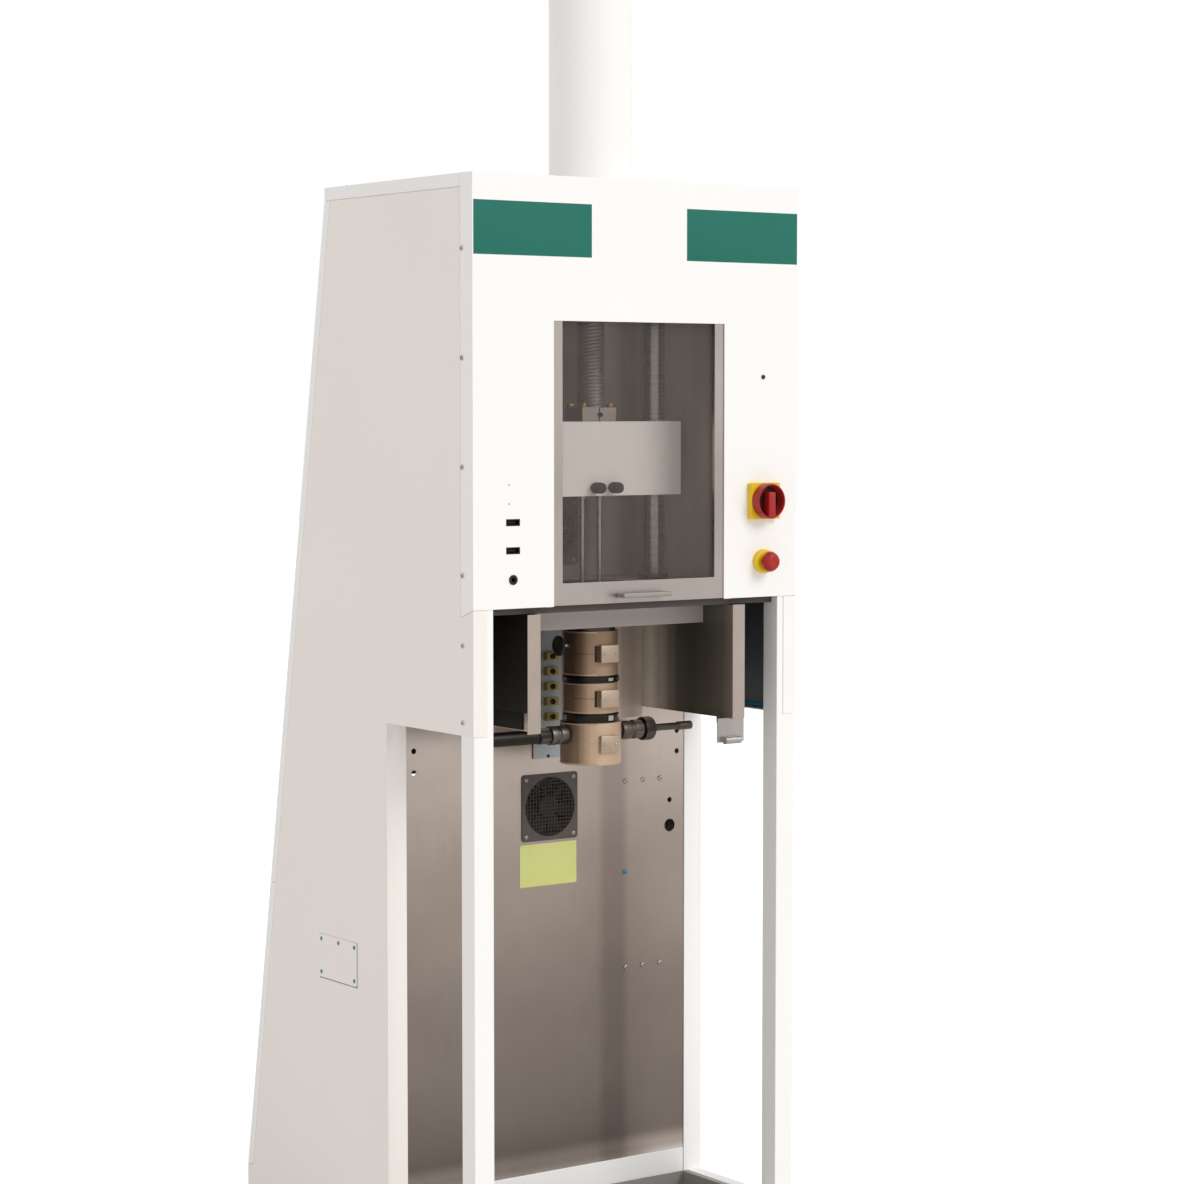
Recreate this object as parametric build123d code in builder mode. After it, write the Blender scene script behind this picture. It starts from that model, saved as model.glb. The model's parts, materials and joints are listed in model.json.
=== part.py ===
from build123d import *
import os

# Cabinet envelope
body_width = 700.0
body_height = 1956.0
top_depth = 487.0
base_depth = 798.0

# Sheets, joints and fits
skin = 2.0
liner = 1.5
seam = 1.0
seat = 0.3
running = 0.05

# Feet and base
foot_height = 45.0
foot_diameter = 60.0
foot_pad = 12.0
foot_inset = 45.0
stud_diameter = 16.0
nut_across = 27.0
nut_height = 12.0
base_tube_height = 60.0
base_tube_width = 40.0
tube_wall = 3.0
plinth_rise = 6.0
kick_height = 46.0
tray_depth = 28.0

# Upright frame tubes
post_size = 40.0
corner_tube = 30.0
load_tube = 60.0
load_inset = 59.0
rail_height = 40.0
rail_depth = 24.0
rail_setback = 18.0
rail_below_panel = 12.0

# Front panel
panel_height = 735.0
return_depth = 38.0
return_drop = 13.0
header_height = 246.0
doorway_inset = 24.5

# Side panels and covers
skirt_height = 215.0
bay_depth = 281.0
front_flange = 28.5
bay_flange = 20.0
column_flange = 40.6
cover_rim = 23.0
rear_flange = 19.0
rear_joint_drop = 1287.0
louvre_length = 150.0
louvre_height = 5.0
louvre_pitch = 15.0
louvre_count = 6
side_screw_diameter = 9.0
side_screw_head = 2.5
side_screw_sides = 8
side_screw_inset = 5.0
side_plate_width = 132.0
side_plate_height = 80.0
side_plate_back = 386.0
side_plate_drop = 1358.0

# Stainless walls
chamber_inset = 141.0
chamber_setback = 5.0
wall_flange = 27.0
wall_drop = 3.0
back_wall_drop = 972.0
lower_panel_overlap = 32.0
lower_panel_margin = 16.0
accessory_inset = 57.5
accessory_spacing_z = 39.0
accessory_drop = 1004.0
accessory_hole = 10.0
single_hole_inset = 74.3
single_hole_drop = 1134.5
cable_hole = 24.0
cable_hole_drop = 1183.0

# Load string
axis_depth = 152.0
platen_drop = 705.0
platen_height = 79.0
platen_top = 22.0
platen_rib = 14.0
platen_gap = 0.5
barrel_boss = 158.0
column_boss = 60.0
platen_front = 92.0
column_diameter = 40.0
column_inset = 33.0
crown_drop = 200.0
crown_thickness = 25.0
crown_front = 60.0
crown_back = 460.0

# Drive
screw_diameter = 50.0
screw_rise = 240.0
screw_socket = 30.0
nut_diameter = 84.0
nut_drop = 12.0
nut_collar = 12.0
housing_diameter = 130.0
housing_height = 50.0
nut_pulley_diameter = 120.0
motor_pulley_diameter = 60.0
belt_width = 24.0
belt_thickness = 4.0
pulley_flange = 2.0
pulley_lip = 4.0
motor_distance = 248.0
motor_size = 90.0
motor_length = 160.0
motor_shaft = 19.0
shaft_hole = 26.0

# Screw tube
tube_diameter = 148.0
tube_height = 460.0
tube_skin = 3.0
tube_flange_diameter = 190.0
tube_flange = 4.0
cap_height = 14.0
cap_skirt = 10.0

# Crosshead
crosshead_gap = 154.0
cover_height = 132.0
cover_side_gap = 36.0
cover_front = 114.0
cover_return = 92.0
cover_lip = 2.0
cover_overhang = 2.5
block_depth = 100.0
bush_diameter = 50.0
bush_flange_diameter = 58.0
bush_flange = 4.0
clamp_width = 75.0
clamp_depth = 56.0
clamp_height = 25.0
holder_diameter = 36.0
holder_height = 29.0
knob_diameter = 20.0
knob_length = 27.0
knob_stem = 8.0
knob_stem_depth = 8.0
knob_rise = 14.5

# Barrel and pistons
bore_spacing = 38.0
bore_diameter = 15.0
bore_depth = 290.0
barrel_length = 326.0
barrel_core = 88.0
barrel_flange_diameter = 130.0
barrel_flange = 18.0
piston_rod = 9.5
piston_collar = 16.0
piston_collar_height = 8.0
piston_tip_height = 12.0
piston_inserted = 120.0
die_nut_diameter = 26.0
die_nut_height = 30.0
die_hole = 6.0
die_socket = 14.0
die_socket_depth = 12.0

# Heater bands, as drop below the platen's top and height
band_diameter = 98.0
lower_band_diameter = 110.0
upper_band_drop = 87.0
upper_band_height = 79.5
middle_band_drop = 180.0
middle_band_height = 54.0
lower_band_drop = 251.0
lower_band_height = 75.0
lug_width = 37.7
lug_height = 30.0
lug_reach = 60.0
band_groove = 1.6

# Transducers
transducer_drop = 272.5
transducer_stem = 18.0
transducer_pocket = 8.0
transducer_body = 34.0
transducer_reach = 64.0
body_length = 47.0
transducer_flange = 43.0
flange_length = 22.0
transducer_rod = 10.5
rod_length = 62.0
transducer_cap = 15.6
cap_length = 30.0
left_reach = 57.0
left_body_length = 35.0
left_neck = 28.0
left_neck_length = 25.0
left_housing = 26.0
left_housing_length = 133.0

# Barrel knob
barrel_knob_diameter = 37.0
barrel_knob_thickness = 12.0
barrel_knob_stem = 10.0
barrel_knob_drop = 113.0
barrel_knob_reach = 12.0

# Thermocouple sockets
socket_width = 26.0
socket_height = 15.0
socket_depth = 10.0
socket_pitch = 27.7
socket_count = 5
socket_drop = 848.0
socket_x = -1.0
socket_plate_left = 36.0
socket_plate_right = 26.0
socket_plate_above = 58.0
socket_plate_below = 77.0

# Guard door
stile_width = 20.0
door_overlap = 12.0
door_thickness = 12.0
door_gap = 0.5
bottom_rail = 38.0
top_rail = 30.0
door_reveal = 3.0
glass_thickness = 5.0
glass_margin = 5.5
handle_span = 96.0
handle_standoff = 25.0
handle_bar = 8.0
handle_rise = 14.0
channel_lip = 12.0
channel_gap = 1.0
channel_foot = 9.0

# Controls
isolator_inset = 80.2
isolator_drop = 561.8
isolator_size = 65.0
isolator_plate_depth = 12.0
isolator_handle_diameter = 60.0
isolator_proud = 32.0
isolator_grip = 18.0
isolator_grip_top = 21.0
isolator_rim = 5.0
isolator_web = 6.0
isolator_shaft = 12.0
isolator_body = 48.0
isolator_body_depth = 45.0
estop_inset = 78.9
estop_drop = 670.5
estop_collar_diameter = 43.0
estop_collar_depth = 12.0
estop_head = 38.0
estop_head_depth = 14.0
estop_stem = 20.0
estop_travel = 6.0
estop_body = 28.0
estop_body_depth = 40.0
lamp_inset = 78.0
lamp_drop = 339.7
lamp_diameter = 8.0
port_inset = 81.0
upper_port_drop = 588.6
lower_port_drop = 636.4
port_width = 28.5
port_height = 12.0
port_depth = 14.0
port_wall = 2.0
jack_drop = 686.0
jack_diameter = 17.0
jack_neck = 14.0
jack_bore = 8.0
jack_depth = 20.0
dot_inset = 73.0
upper_dot_drop = 524.7
lower_dot_drop = 556.8
dot_diameter = 3.0
lens_flange = 3.0
lens_depth = 4.0

# Fans
fan_size = 120.0
fan_depth = 25.0
fan_bore = 108.0
fan_plate = 3.0
fan_hub = 40.0
fan_blades = 7
fan_strut = 8.0
fan_shaft = 5.0
guard_plate = 2.4
guard_opening = 112.0
guard_wire = 1.6
guard_pitch = 22.0
guard_count = 4
upper_fan_drop = 620.5
lower_fan_drop = 1126.0

# Guard bracket under the right chamber wall
bracket_height = 44.0
bracket_setback = 25.0
bracket_tab = 30.0
bracket_inward = 19.0
bracket_outward = 41.0
roller_diameter = 14.0
roller_length = 35.0
roller_drop = 40.0
roller_bite = 2.0

# Control box behind the lower panel
control_height = 420.0
control_depth = 120.0
control_rise = 300.0
control_lid = 1.5

# Shared places
half_width = body_width / 2
chamber_width = body_width - 2 * chamber_inset
doorway_width = chamber_width - 2 * doorway_inset
cover_width = chamber_width - 2 * cover_side_gap
column_spacing = cover_width - 2 * column_inset
load_spacing = chamber_width - 2 * load_inset
platen_tongue = load_spacing + load_tube
control_width = load_spacing + load_tube
lower_panel_width = body_width - 2 * lower_panel_margin
accessory_spacing_x = body_width - 2 * accessory_inset
single_hole_x = half_width - single_hole_inset
isolator_x = half_width - isolator_inset
estop_x = half_width - estop_inset
lamp_x = half_width - lamp_inset
port_x = port_inset - half_width
dot_x = dot_inset - half_width
top_z = body_height
estop_gap = estop_travel + 2 * skin
estop_proud = estop_collar_depth + estop_gap + estop_head_depth
front_y = -(base_depth - max(isolator_proud, estop_proud)) / 2
rear_y = front_y + base_depth
top_rear_y = front_y + top_depth
axis_y = front_y + axis_depth
bay_y = front_y + bay_depth
base_top = foot_height + base_tube_height
plinth_z = base_top + plinth_rise
panel_bottom = top_z - panel_height
notch_z = panel_bottom - skirt_height
rim_z = top_z - cover_rim
rail_bottom = panel_bottom - rail_below_panel
platen_z = top_z - platen_drop
platen_bottom = platen_z - platen_height
crown_z = top_z - crown_drop
crown_top = crown_z + crown_thickness
wall_bottom = notch_z - wall_drop
half_chamber = chamber_width / 2
frame_half = half_width - skin
lean = (base_depth - top_depth) / (rim_z - plinth_z)

cover_bottom = platen_z + crosshead_gap
cover_top = cover_bottom + cover_height
block_top = cover_top - cover_lip
holder_bottom = cover_bottom + cover_overhang
block_bottom = holder_bottom + holder_height
clamp_top = block_top + cover_lip + clamp_height
knob_z = cover_bottom + knob_rise
cover_y = front_y + cover_front
block_y = cover_y + skin

barrel_bottom = platen_z - barrel_length
transducer_z = platen_z - transducer_drop
housing_top = crown_top + housing_height
pulley_z = housing_top + seat + nut_collar
motor_y = axis_y + motor_distance
panel_back = front_y + skin
load_y = bay_y + liner + skin + seam / 2


def rear_line(z, inset=0.0):
    """Y of the sloping rear face at height z, moved forward by inset."""
    return rear_y - (z - plinth_z) * lean - inset


def across(y):
    """Plane facing the front at depth y, with X to the right and Z up."""
    return Plane.XZ.offset(-y)


def along(x):
    """Plane facing sideways at x, with Y and Z as its axes."""
    return Plane.YZ.offset(x)


def level(z):
    """Horizontal plane at height z."""
    return Plane.XY.offset(z)


def save(piece, name):
    """Label one finished sub-part and write it."""
    piece.part.label = name
    export_step(piece.part, f"parts/{name}.step")


def bar(x, y, z):
    """Block between two limits on each axis, with its own sketch."""
    with BuildSketch(level(z[0])) as outline:
        with Locations(((x[0] + x[1]) / 2, (y[0] + y[1]) / 2)):
            Rectangle(abs(x[1] - x[0]), abs(y[1] - y[0]))
    extrude(outline.sketch, amount=z[1] - z[0])


def tube_x(x, y, z, wall):
    """Hollow rectangular tube running along X."""
    with BuildSketch(along(x[0])) as outline:
        with Locations(((y[0] + y[1]) / 2, (z[0] + z[1]) / 2)):
            Rectangle(y[1] - y[0], z[1] - z[0])
            Rectangle(y[1] - y[0] - 2 * wall, z[1] - z[0] - 2 * wall, mode=Mode.SUBTRACT)
    extrude(outline.sketch, amount=x[1] - x[0])


def tube_y(x, y, z, wall):
    """Hollow rectangular tube running along Y."""
    with BuildSketch(across(y[0])) as outline:
        with Locations(((x[0] + x[1]) / 2, (z[0] + z[1]) / 2)):
            Rectangle(x[1] - x[0], z[1] - z[0])
            Rectangle(x[1] - x[0] - 2 * wall, z[1] - z[0] - 2 * wall, mode=Mode.SUBTRACT)
    extrude(outline.sketch, amount=-(y[1] - y[0]))


def tube_z(x, y, z, wall):
    """Hollow rectangular tube standing along Z."""
    with BuildSketch(level(z[0])) as outline:
        with Locations(((x[0] + x[1]) / 2, (y[0] + y[1]) / 2)):
            Rectangle(x[1] - x[0], y[1] - y[0])
            Rectangle(x[1] - x[0] - 2 * wall, y[1] - y[0] - 2 * wall, mode=Mode.SUBTRACT)
    extrude(outline.sketch, amount=z[1] - z[0])


def group(pieces, name):
    """Write several separate solids as one named sub-part."""
    part = Part(children=[piece.part for piece in pieces])
    part.label = name
    export_step(part, f"parts/{name}.step")


os.makedirs("parts", exist_ok=True)

# Levelling feet: pad, stud and lock nut under each corner of the base
feet = []
foot_places = [
    (side * (frame_half - foot_inset), y)
    for side in (-1, 1)
    for y in (front_y + skin + foot_inset, rear_y - foot_inset)
]
for place in foot_places:
    with BuildPart() as foot:
        with BuildSketch(level(0)):
            with Locations(place):
                Circle(foot_diameter / 2)
        extrude(amount=foot_pad)
        with BuildSketch(level(foot_pad)):
            with Locations(place):
                Circle(stud_diameter / 2)
        extrude(amount=foot_height - foot_pad)
        with BuildSketch(level(foot_height - nut_height)):
            with Locations(place):
                RegularPolygon(nut_across / 2, 6, major_radius=False)
        extrude(amount=nut_height)
    feet.append(foot)
group(feet, "levelling_feet")

# Cabinet frame: welded base tubes, kick strip, sloping rear corner tubes and top rails
base_z = (foot_height, base_top)
front_tube_y = (front_y + skin, front_y + skin + base_tube_width)
rear_tube_y = (rear_y - base_tube_width, rear_y)
mid_tube_y = (bay_y + skin, bay_y + skin + load_tube + skin)
side_tube_x = (frame_half - base_tube_width, frame_half)
frame_parts = []
for span in (front_tube_y, rear_tube_y):
    with BuildPart() as cross_tube:
        tube_x((-frame_half, frame_half), span, base_z, tube_wall)
    frame_parts.append(cross_tube)
for side in (-1, 1):
    low, high = sorted((side * side_tube_x[0], side * side_tube_x[1]))
    with BuildPart() as side_tube:
        tube_y((low, high), (front_tube_y[1], rear_tube_y[0]), base_z, tube_wall)
    frame_parts.append(side_tube)
with BuildPart() as mid_tube:
    tube_x((-side_tube_x[0], side_tube_x[0]), mid_tube_y, base_z, tube_wall)
frame_parts.append(mid_tube)
with BuildPart() as kick_strip:
    bar(
        (-(frame_half - column_flange), frame_half - column_flange),
        (bay_y, bay_y + skin),
        (base_top, base_top + kick_height),
    )
frame_parts.append(kick_strip)

rail_z = (top_z - skin - post_size, top_z - skin)
corner_x = (frame_half - corner_tube, frame_half)
corner_inset = skin + seat
corner_line = [(z, rear_line(z, corner_inset)) for z in (base_top, rail_z[0])]
rail_end_y = top_rear_y - skin
for side in (-1, 1):
    low, high = sorted((side * corner_x[0], side * corner_x[1]))
    with BuildPart() as corner_post:
        with BuildSketch(along(low)):
            with BuildLine():
                Polyline(
                    (corner_line[0][1], corner_line[0][0]),
                    (corner_line[1][1], corner_line[1][0]),
                    (corner_line[1][1] - corner_tube, corner_line[1][0]),
                    (corner_line[0][1] - corner_tube, corner_line[0][0]),
                    close=True,
                )
            make_face()
        extrude(amount=corner_tube)
        with BuildSketch(along(low + tube_wall)):
            with BuildLine():
                Polyline(
                    (corner_line[0][1] - tube_wall, corner_line[0][0]),
                    (corner_line[1][1] - tube_wall, corner_line[1][0]),
                    (corner_line[1][1] - corner_tube + tube_wall, corner_line[1][0]),
                    (corner_line[0][1] - corner_tube + tube_wall, corner_line[0][0]),
                    close=True,
                )
            make_face()
        extrude(amount=corner_tube - 2 * tube_wall, mode=Mode.SUBTRACT)
    frame_parts.append(corner_post)
    low, high = sorted((side * side_tube_x[0], side * side_tube_x[1]))
    with BuildPart() as top_rail_tube:
        tube_y((low, high), (front_tube_y[1], rail_end_y), rail_z, tube_wall)
    frame_parts.append(top_rail_tube)
with BuildPart() as top_cross_tube:
    tube_x((-side_tube_x[0], side_tube_x[0]), (rail_end_y - corner_tube, rail_end_y), rail_z, tube_wall)
frame_parts.append(top_cross_tube)
group(frame_parts, "cabinet_frame")

# Front frame: two square posts and the cross rail under the guard door
front_parts = []
for side in (-1, 1):
    low, high = sorted((side * (frame_half - post_size), side * frame_half))
    with BuildPart() as front_post:
        tube_z((low, high), (front_y + skin, front_y + skin + post_size), (base_top, top_z - skin), tube_wall)
    front_parts.append(front_post)
with BuildPart() as cross_rail:
    tube_x(
        (-(frame_half - post_size), frame_half - post_size),
        (front_y + rail_setback, front_y + rail_setback + rail_depth),
        (rail_bottom, rail_bottom + rail_height),
        tube_wall,
    )
front_parts.append(cross_rail)
group(front_parts, "front_frame")

# Load frame: two main uprights behind the stainless back wall, with beams at platen and crown
load_wall = 4.0
load_parts = []
load_inner = load_spacing / 2 - load_tube / 2
for side in (-1, 1):
    low, high = sorted((side * load_inner, side * (load_inner + load_tube)))
    with BuildPart() as upright:
        tube_z((low, high), (load_y, load_y + load_tube), (base_top, crown_z), load_wall)
    load_parts.append(upright)
for low, high in ((platen_bottom, platen_z), (crown_z - load_tube, crown_z)):
    with BuildPart() as beam:
        tube_x((-load_inner, load_inner), (load_y, load_y + load_tube), (low, high), load_wall)
    load_parts.append(beam)
group(load_parts, "load_frame")

# Front panel: one folded sheet, open below for the guard door
with BuildPart() as front_panel:
    with BuildSketch(across(front_y)):
        with Locations((0, top_z - panel_height / 2)):
            Rectangle(body_width, panel_height)
        with Locations((0, top_z - header_height)):
            Rectangle(doorway_width, 2 * panel_height, align=(Align.CENTER, Align.MAX), mode=Mode.SUBTRACT)
        with Locations((lamp_x, top_z - lamp_drop)):
            Circle(lamp_diameter / 2, mode=Mode.SUBTRACT)
        with Locations((port_x, top_z - upper_port_drop), (port_x, top_z - lower_port_drop)):
            Rectangle(port_width, port_height, mode=Mode.SUBTRACT)
        with Locations((port_x, top_z - jack_drop)):
            Circle(jack_neck / 2, mode=Mode.SUBTRACT)
        with Locations((dot_x, top_z - upper_dot_drop), (dot_x, top_z - lower_dot_drop)):
            Circle(dot_diameter / 2, mode=Mode.SUBTRACT)
        with Locations((isolator_x, top_z - isolator_drop)):
            Circle(isolator_body / 2, mode=Mode.SUBTRACT)
        with Locations((estop_x, top_z - estop_drop)):
            Circle(estop_body / 2, mode=Mode.SUBTRACT)
    extrude(amount=-skin)
    for side in (-1, 1):
        with BuildSketch(along(side * half_width)):
            with BuildLine():
                Polyline(
                    (front_y, top_z),
                    (front_y + return_depth, top_z),
                    (front_y + return_depth, panel_bottom - return_drop),
                    (front_y, panel_bottom),
                    close=True,
                )
            make_face()
        extrude(amount=-side * skin)
    bar((-half_width, half_width), (front_y, front_y + return_depth), (top_z - skin, top_z))
save(front_panel, "front_panel")

# Side panels: notched sheet with folded flanges at the front, under the bay and down the column
side_top_y = front_y + return_depth + seam
side_outline = [
    (side_top_y, rim_z - seam),
    (rear_line(rim_z - seam, rear_flange + seam), rim_z - seam),
    (rear_line(plinth_z, rear_flange + seam), plinth_z),
    (rear_line(plinth_z, rear_flange + seam), plinth_z - seam),
    (rear_y, plinth_z - seam),
    (rear_y, foot_height),
    (bay_y, foot_height),
    (bay_y, notch_z),
    (front_y, notch_z),
    (front_y, panel_bottom - seam),
    (side_top_y, panel_bottom - seam - return_drop * (return_depth + seam) / return_depth),
]
for name, side in (("left_side_panel", -1), ("right_side_panel", 1)):
    with BuildPart() as side_panel:
        with BuildSketch(along(side * half_width)):
            with BuildLine():
                Polyline(*side_outline, close=True)
            make_face()
        extrude(amount=-side * skin)
        flange_top = panel_bottom - seam
        bar(
            sorted((side * half_width, side * (half_width - front_flange))),
            (front_y, front_y + skin),
            (notch_z, flange_top),
        )
        bar(
            sorted((side * half_width, side * (half_width - bay_flange))),
            (front_y + skin + post_size, bay_y),
            (notch_z, notch_z + skin),
        )
        bar(
            sorted((side * half_width, side * (half_width - column_flange))),
            (bay_y, bay_y + skin),
            (base_top, notch_z + skin),
        )
    save(side_panel, name)

# Top cover: pan with side rims and a collar hole for the screw tube
with BuildPart() as top_cover:
    cover_y_span = (side_top_y, top_rear_y)
    with BuildSketch(level(top_z - skin)):
        with Locations((0, (cover_y_span[0] + cover_y_span[1]) / 2)):
            Rectangle(body_width, cover_y_span[1] - cover_y_span[0])
        with Locations((0, axis_y)):
            Circle(tube_diameter / 2 + seat, mode=Mode.SUBTRACT)
    extrude(amount=skin)
    for side in (-1, 1):
        bar(sorted((side * half_width, side * (half_width - skin))), cover_y_span, (rim_z, top_z))
    bar((-half_width, half_width), (top_rear_y - skin, top_rear_y), (rim_z, top_z))
save(top_cover, "top_cover")

# Rear covers: sloping sheets with side flanges; the upper one carries the louvres
joint_z = top_z - rear_joint_drop
cover_spans = {
    "upper_rear_cover": (joint_z + seam, rim_z - seam),
    "lower_rear_cover": (plinth_z, joint_z),
}
for name, (low, high) in cover_spans.items():
    with BuildPart() as rear_cover:
        with BuildSketch(along(-half_width)):
            with BuildLine():
                Polyline(
                    (rear_line(low), low),
                    (rear_line(high), high),
                    (rear_line(high, skin), high),
                    (rear_line(low, skin), low),
                    close=True,
                )
            make_face()
        extrude(amount=body_width)
        for side in (-1, 1):
            with BuildSketch(along(side * half_width)):
                with BuildLine():
                    Polyline(
                        (rear_line(low), low),
                        (rear_line(high), high),
                        (rear_line(high, rear_flange), high),
                        (rear_line(low, rear_flange), low),
                        close=True,
                    )
                make_face()
            extrude(amount=-side * skin)
        if name == "lower_rear_cover":
            foot_edges = rear_cover.edges().filter_by(Axis.X).group_by(Axis.Z)[0].sort_by(Axis.Y)
            fillet([foot_edges[0], foot_edges[1]], rear_flange * 0.6)
        vents = [top_z - drop for drop in (upper_fan_drop, lower_fan_drop) if low < top_z - drop < high]
        for vent_z in vents:
            with BuildSketch(across(rear_y)):
                with Locations((0, vent_z)):
                    with GridLocations(0, louvre_pitch, 1, louvre_count):
                        Rectangle(louvre_length, louvre_height)
            extrude(amount=base_depth - top_depth + cover_rim, mode=Mode.SUBTRACT)
    save(rear_cover, name)

# Side screws: dome heads down the front edge of both side panels
side_screw_drops = (126.3, 310.2, 494.2, 677.5, 796.4, 927.7)
side_screws = []
for side in (-1, 1):
    for drop in side_screw_drops:
        with BuildPart() as side_screw:
            with BuildSketch(along(side * half_width)):
                with Locations((front_y + return_depth - side_screw_inset, top_z - drop)):
                    RegularPolygon(side_screw_diameter / 2, side_screw_sides)
            extrude(amount=side * side_screw_head)
            outer_rim = side_screw.faces().sort_by(Axis.X)[-1 if side > 0 else 0].edges()
            chamfer(outer_rim, side_screw_head / 2)
        side_screws.append(side_screw)
group(side_screws, "side_screws")

# Cover plate on the left side panel
side_plate_y = front_y + side_plate_back + side_plate_width / 2
side_plate_z = top_z - side_plate_drop - side_plate_height / 2
with BuildPart() as side_cover_plate:
    with BuildSketch(along(-half_width - liner)):
        with Locations((side_plate_y, side_plate_z)):
            RectangleRounded(side_plate_width, side_plate_height, side_plate_height / 20)
    extrude(amount=liner)
save(side_cover_plate, "side_cover_plate")

# Lower back panel: stainless sheet across the bay, behind the column flanges
lower_panel_top = top_z - back_wall_drop + lower_panel_overlap
lower_fan_z = top_z - lower_fan_drop
upper_fan_z = top_z - upper_fan_drop
accessory_z = top_z - accessory_drop - accessory_spacing_z / 2
fan_hole = fan_bore + 2 * skin
with BuildPart() as lower_back_panel:
    with BuildSketch(across(bay_y + skin)):
        with Locations((0, (base_top + lower_panel_top) / 2)):
            Rectangle(lower_panel_width, lower_panel_top - base_top)
        with Locations((0, accessory_z)):
            with GridLocations(accessory_spacing_x, accessory_spacing_z, 2, 2):
                Circle(accessory_hole / 2, mode=Mode.SUBTRACT)
        with Locations((single_hole_x, top_z - single_hole_drop)):
            Circle(accessory_hole / 2, mode=Mode.SUBTRACT)
        with Locations((single_hole_x, top_z - cable_hole_drop)):
            Circle(cable_hole / 2, mode=Mode.SUBTRACT)
        with Locations((0, lower_fan_z)):
            Circle(fan_hole / 2, mode=Mode.SUBTRACT)
    extrude(amount=-liner)
save(lower_back_panel, "lower_back_panel")

# Upper back wall of the test chamber, cut out round the platen's tongue
back_wall_bottom = top_z - back_wall_drop
with BuildPart() as upper_back_wall:
    with BuildSketch(across(bay_y)):
        with Locations((0, (back_wall_bottom + crown_z) / 2)):
            Rectangle(chamber_width + 2 * liner, crown_z - back_wall_bottom)
        with Locations((0, (platen_bottom + platen_z) / 2)):
            Rectangle(
                platen_tongue + 2 * platen_gap, platen_height + 2 * platen_gap, mode=Mode.SUBTRACT
            )
        with Locations((0, upper_fan_z)):
            Circle(fan_hole / 2, mode=Mode.SUBTRACT)
    extrude(amount=-liner)
socket_face = bay_y - liner
first_socket_z = top_z - socket_drop
last_socket_z = first_socket_z - (socket_count - 1) * socket_pitch
with BuildPart() as socket_plate:
    bar(
        (socket_x - socket_plate_left, socket_x + socket_plate_right),
        (socket_face, bay_y),
        (last_socket_z - socket_plate_below, first_socket_z + socket_plate_above),
    )
group([upper_back_wall, socket_plate], "upper_back_wall")

# Chamber side walls: sheet with a front flange turned outward and a notch over the cross rail
rail_back = front_y + rail_setback + rail_depth
for name, side in (("left_chamber_wall", -1), ("right_chamber_wall", 1)):
    with BuildPart() as chamber_wall:
        wall_front = front_y + chamber_setback
        bar(
            sorted((side * half_chamber, side * (half_chamber + liner))),
            (wall_front, bay_y),
            (wall_bottom, crown_z),
        )
        bar(
            sorted((side * half_chamber, side * (half_chamber + wall_flange))),
            (wall_front, wall_front + liner),
            (wall_bottom, crown_z),
        )
        with BuildSketch(along(0)):
            with Locations((rail_back + seam, rail_bottom - platen_gap)):
                Rectangle(
                    body_width,
                    rail_height + 2 * platen_gap,
                    align=(Align.MAX, Align.MIN),
                )
        extrude(amount=side * body_width, mode=Mode.SUBTRACT)
    save(chamber_wall, name)

# Base tray: shallow pan in the base, its side lips resting on the side tubes
tray_front = front_tube_y[1] + skin
tray_back = bay_y - skin
tray_half = side_tube_x[0] - skin
tray_lip = skin + post_size / 4
with BuildPart() as base_tray:
    bar((-tray_half, tray_half), (tray_front, tray_back), (base_top - tray_depth, base_top + liner))
    with BuildSketch(level(base_top - tray_depth + liner)):
        with Locations((0, (tray_front + tray_back) / 2)):
            Rectangle(2 * (tray_half - liner), tray_back - tray_front - 2 * liner)
    extrude(amount=tray_depth, mode=Mode.SUBTRACT)
    for side in (-1, 1):
        bar(
            sorted((side * tray_half, side * (tray_half + tray_lip))),
            (tray_front, tray_back),
            (base_top, base_top + liner),
        )
save(base_tray, "base_tray")

# Platen: ribbed casting with bosses for the barrel and the guide columns
platen_back = bay_y
platen_y = front_y + platen_front
platen_half = half_chamber - platen_gap
platen_mid = (platen_y + platen_back) / 2
column_x = column_spacing / 2
with BuildPart() as platen:
    bar((-platen_half, platen_half), (platen_y, platen_back), (platen_bottom, platen_z))
    bar((-platen_tongue / 2, platen_tongue / 2), (platen_back, load_y), (platen_bottom, platen_z))
    with BuildSketch(level(platen_bottom)):
        with Locations((0, platen_mid)):
            Rectangle(2 * (platen_half - platen_rib), platen_back - platen_y - 2 * platen_rib)
        with Locations((0, platen_mid)):
            Rectangle(2 * platen_half, platen_rib, mode=Mode.SUBTRACT)
        with Locations((0, axis_y)):
            Circle(barrel_boss / 2, mode=Mode.SUBTRACT)
        with Locations((-column_x, axis_y), (column_x, axis_y)):
            Circle(column_boss / 2, mode=Mode.SUBTRACT)
    extrude(amount=platen_height - platen_top, mode=Mode.SUBTRACT)
    with BuildSketch(level(platen_bottom)):
        with Locations((0, axis_y)):
            Circle(barrel_core / 2 + seat)
    extrude(amount=platen_height, mode=Mode.SUBTRACT)
    with BuildSketch(level(platen_z - barrel_flange)):
        with Locations((0, axis_y)):
            Circle(barrel_flange_diameter / 2 + seat)
    extrude(amount=barrel_flange, mode=Mode.SUBTRACT)
save(platen, "platen")

# Guide columns standing between platen and crown
columns = []
for side in (-1, 1):
    with BuildPart() as column:
        with BuildSketch(level(platen_z)):
            with Locations((side * column_x, axis_y)):
                Circle(column_diameter / 2)
        extrude(amount=crown_z - platen_z)
    columns.append(column)
group(columns, "guide_columns")

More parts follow.
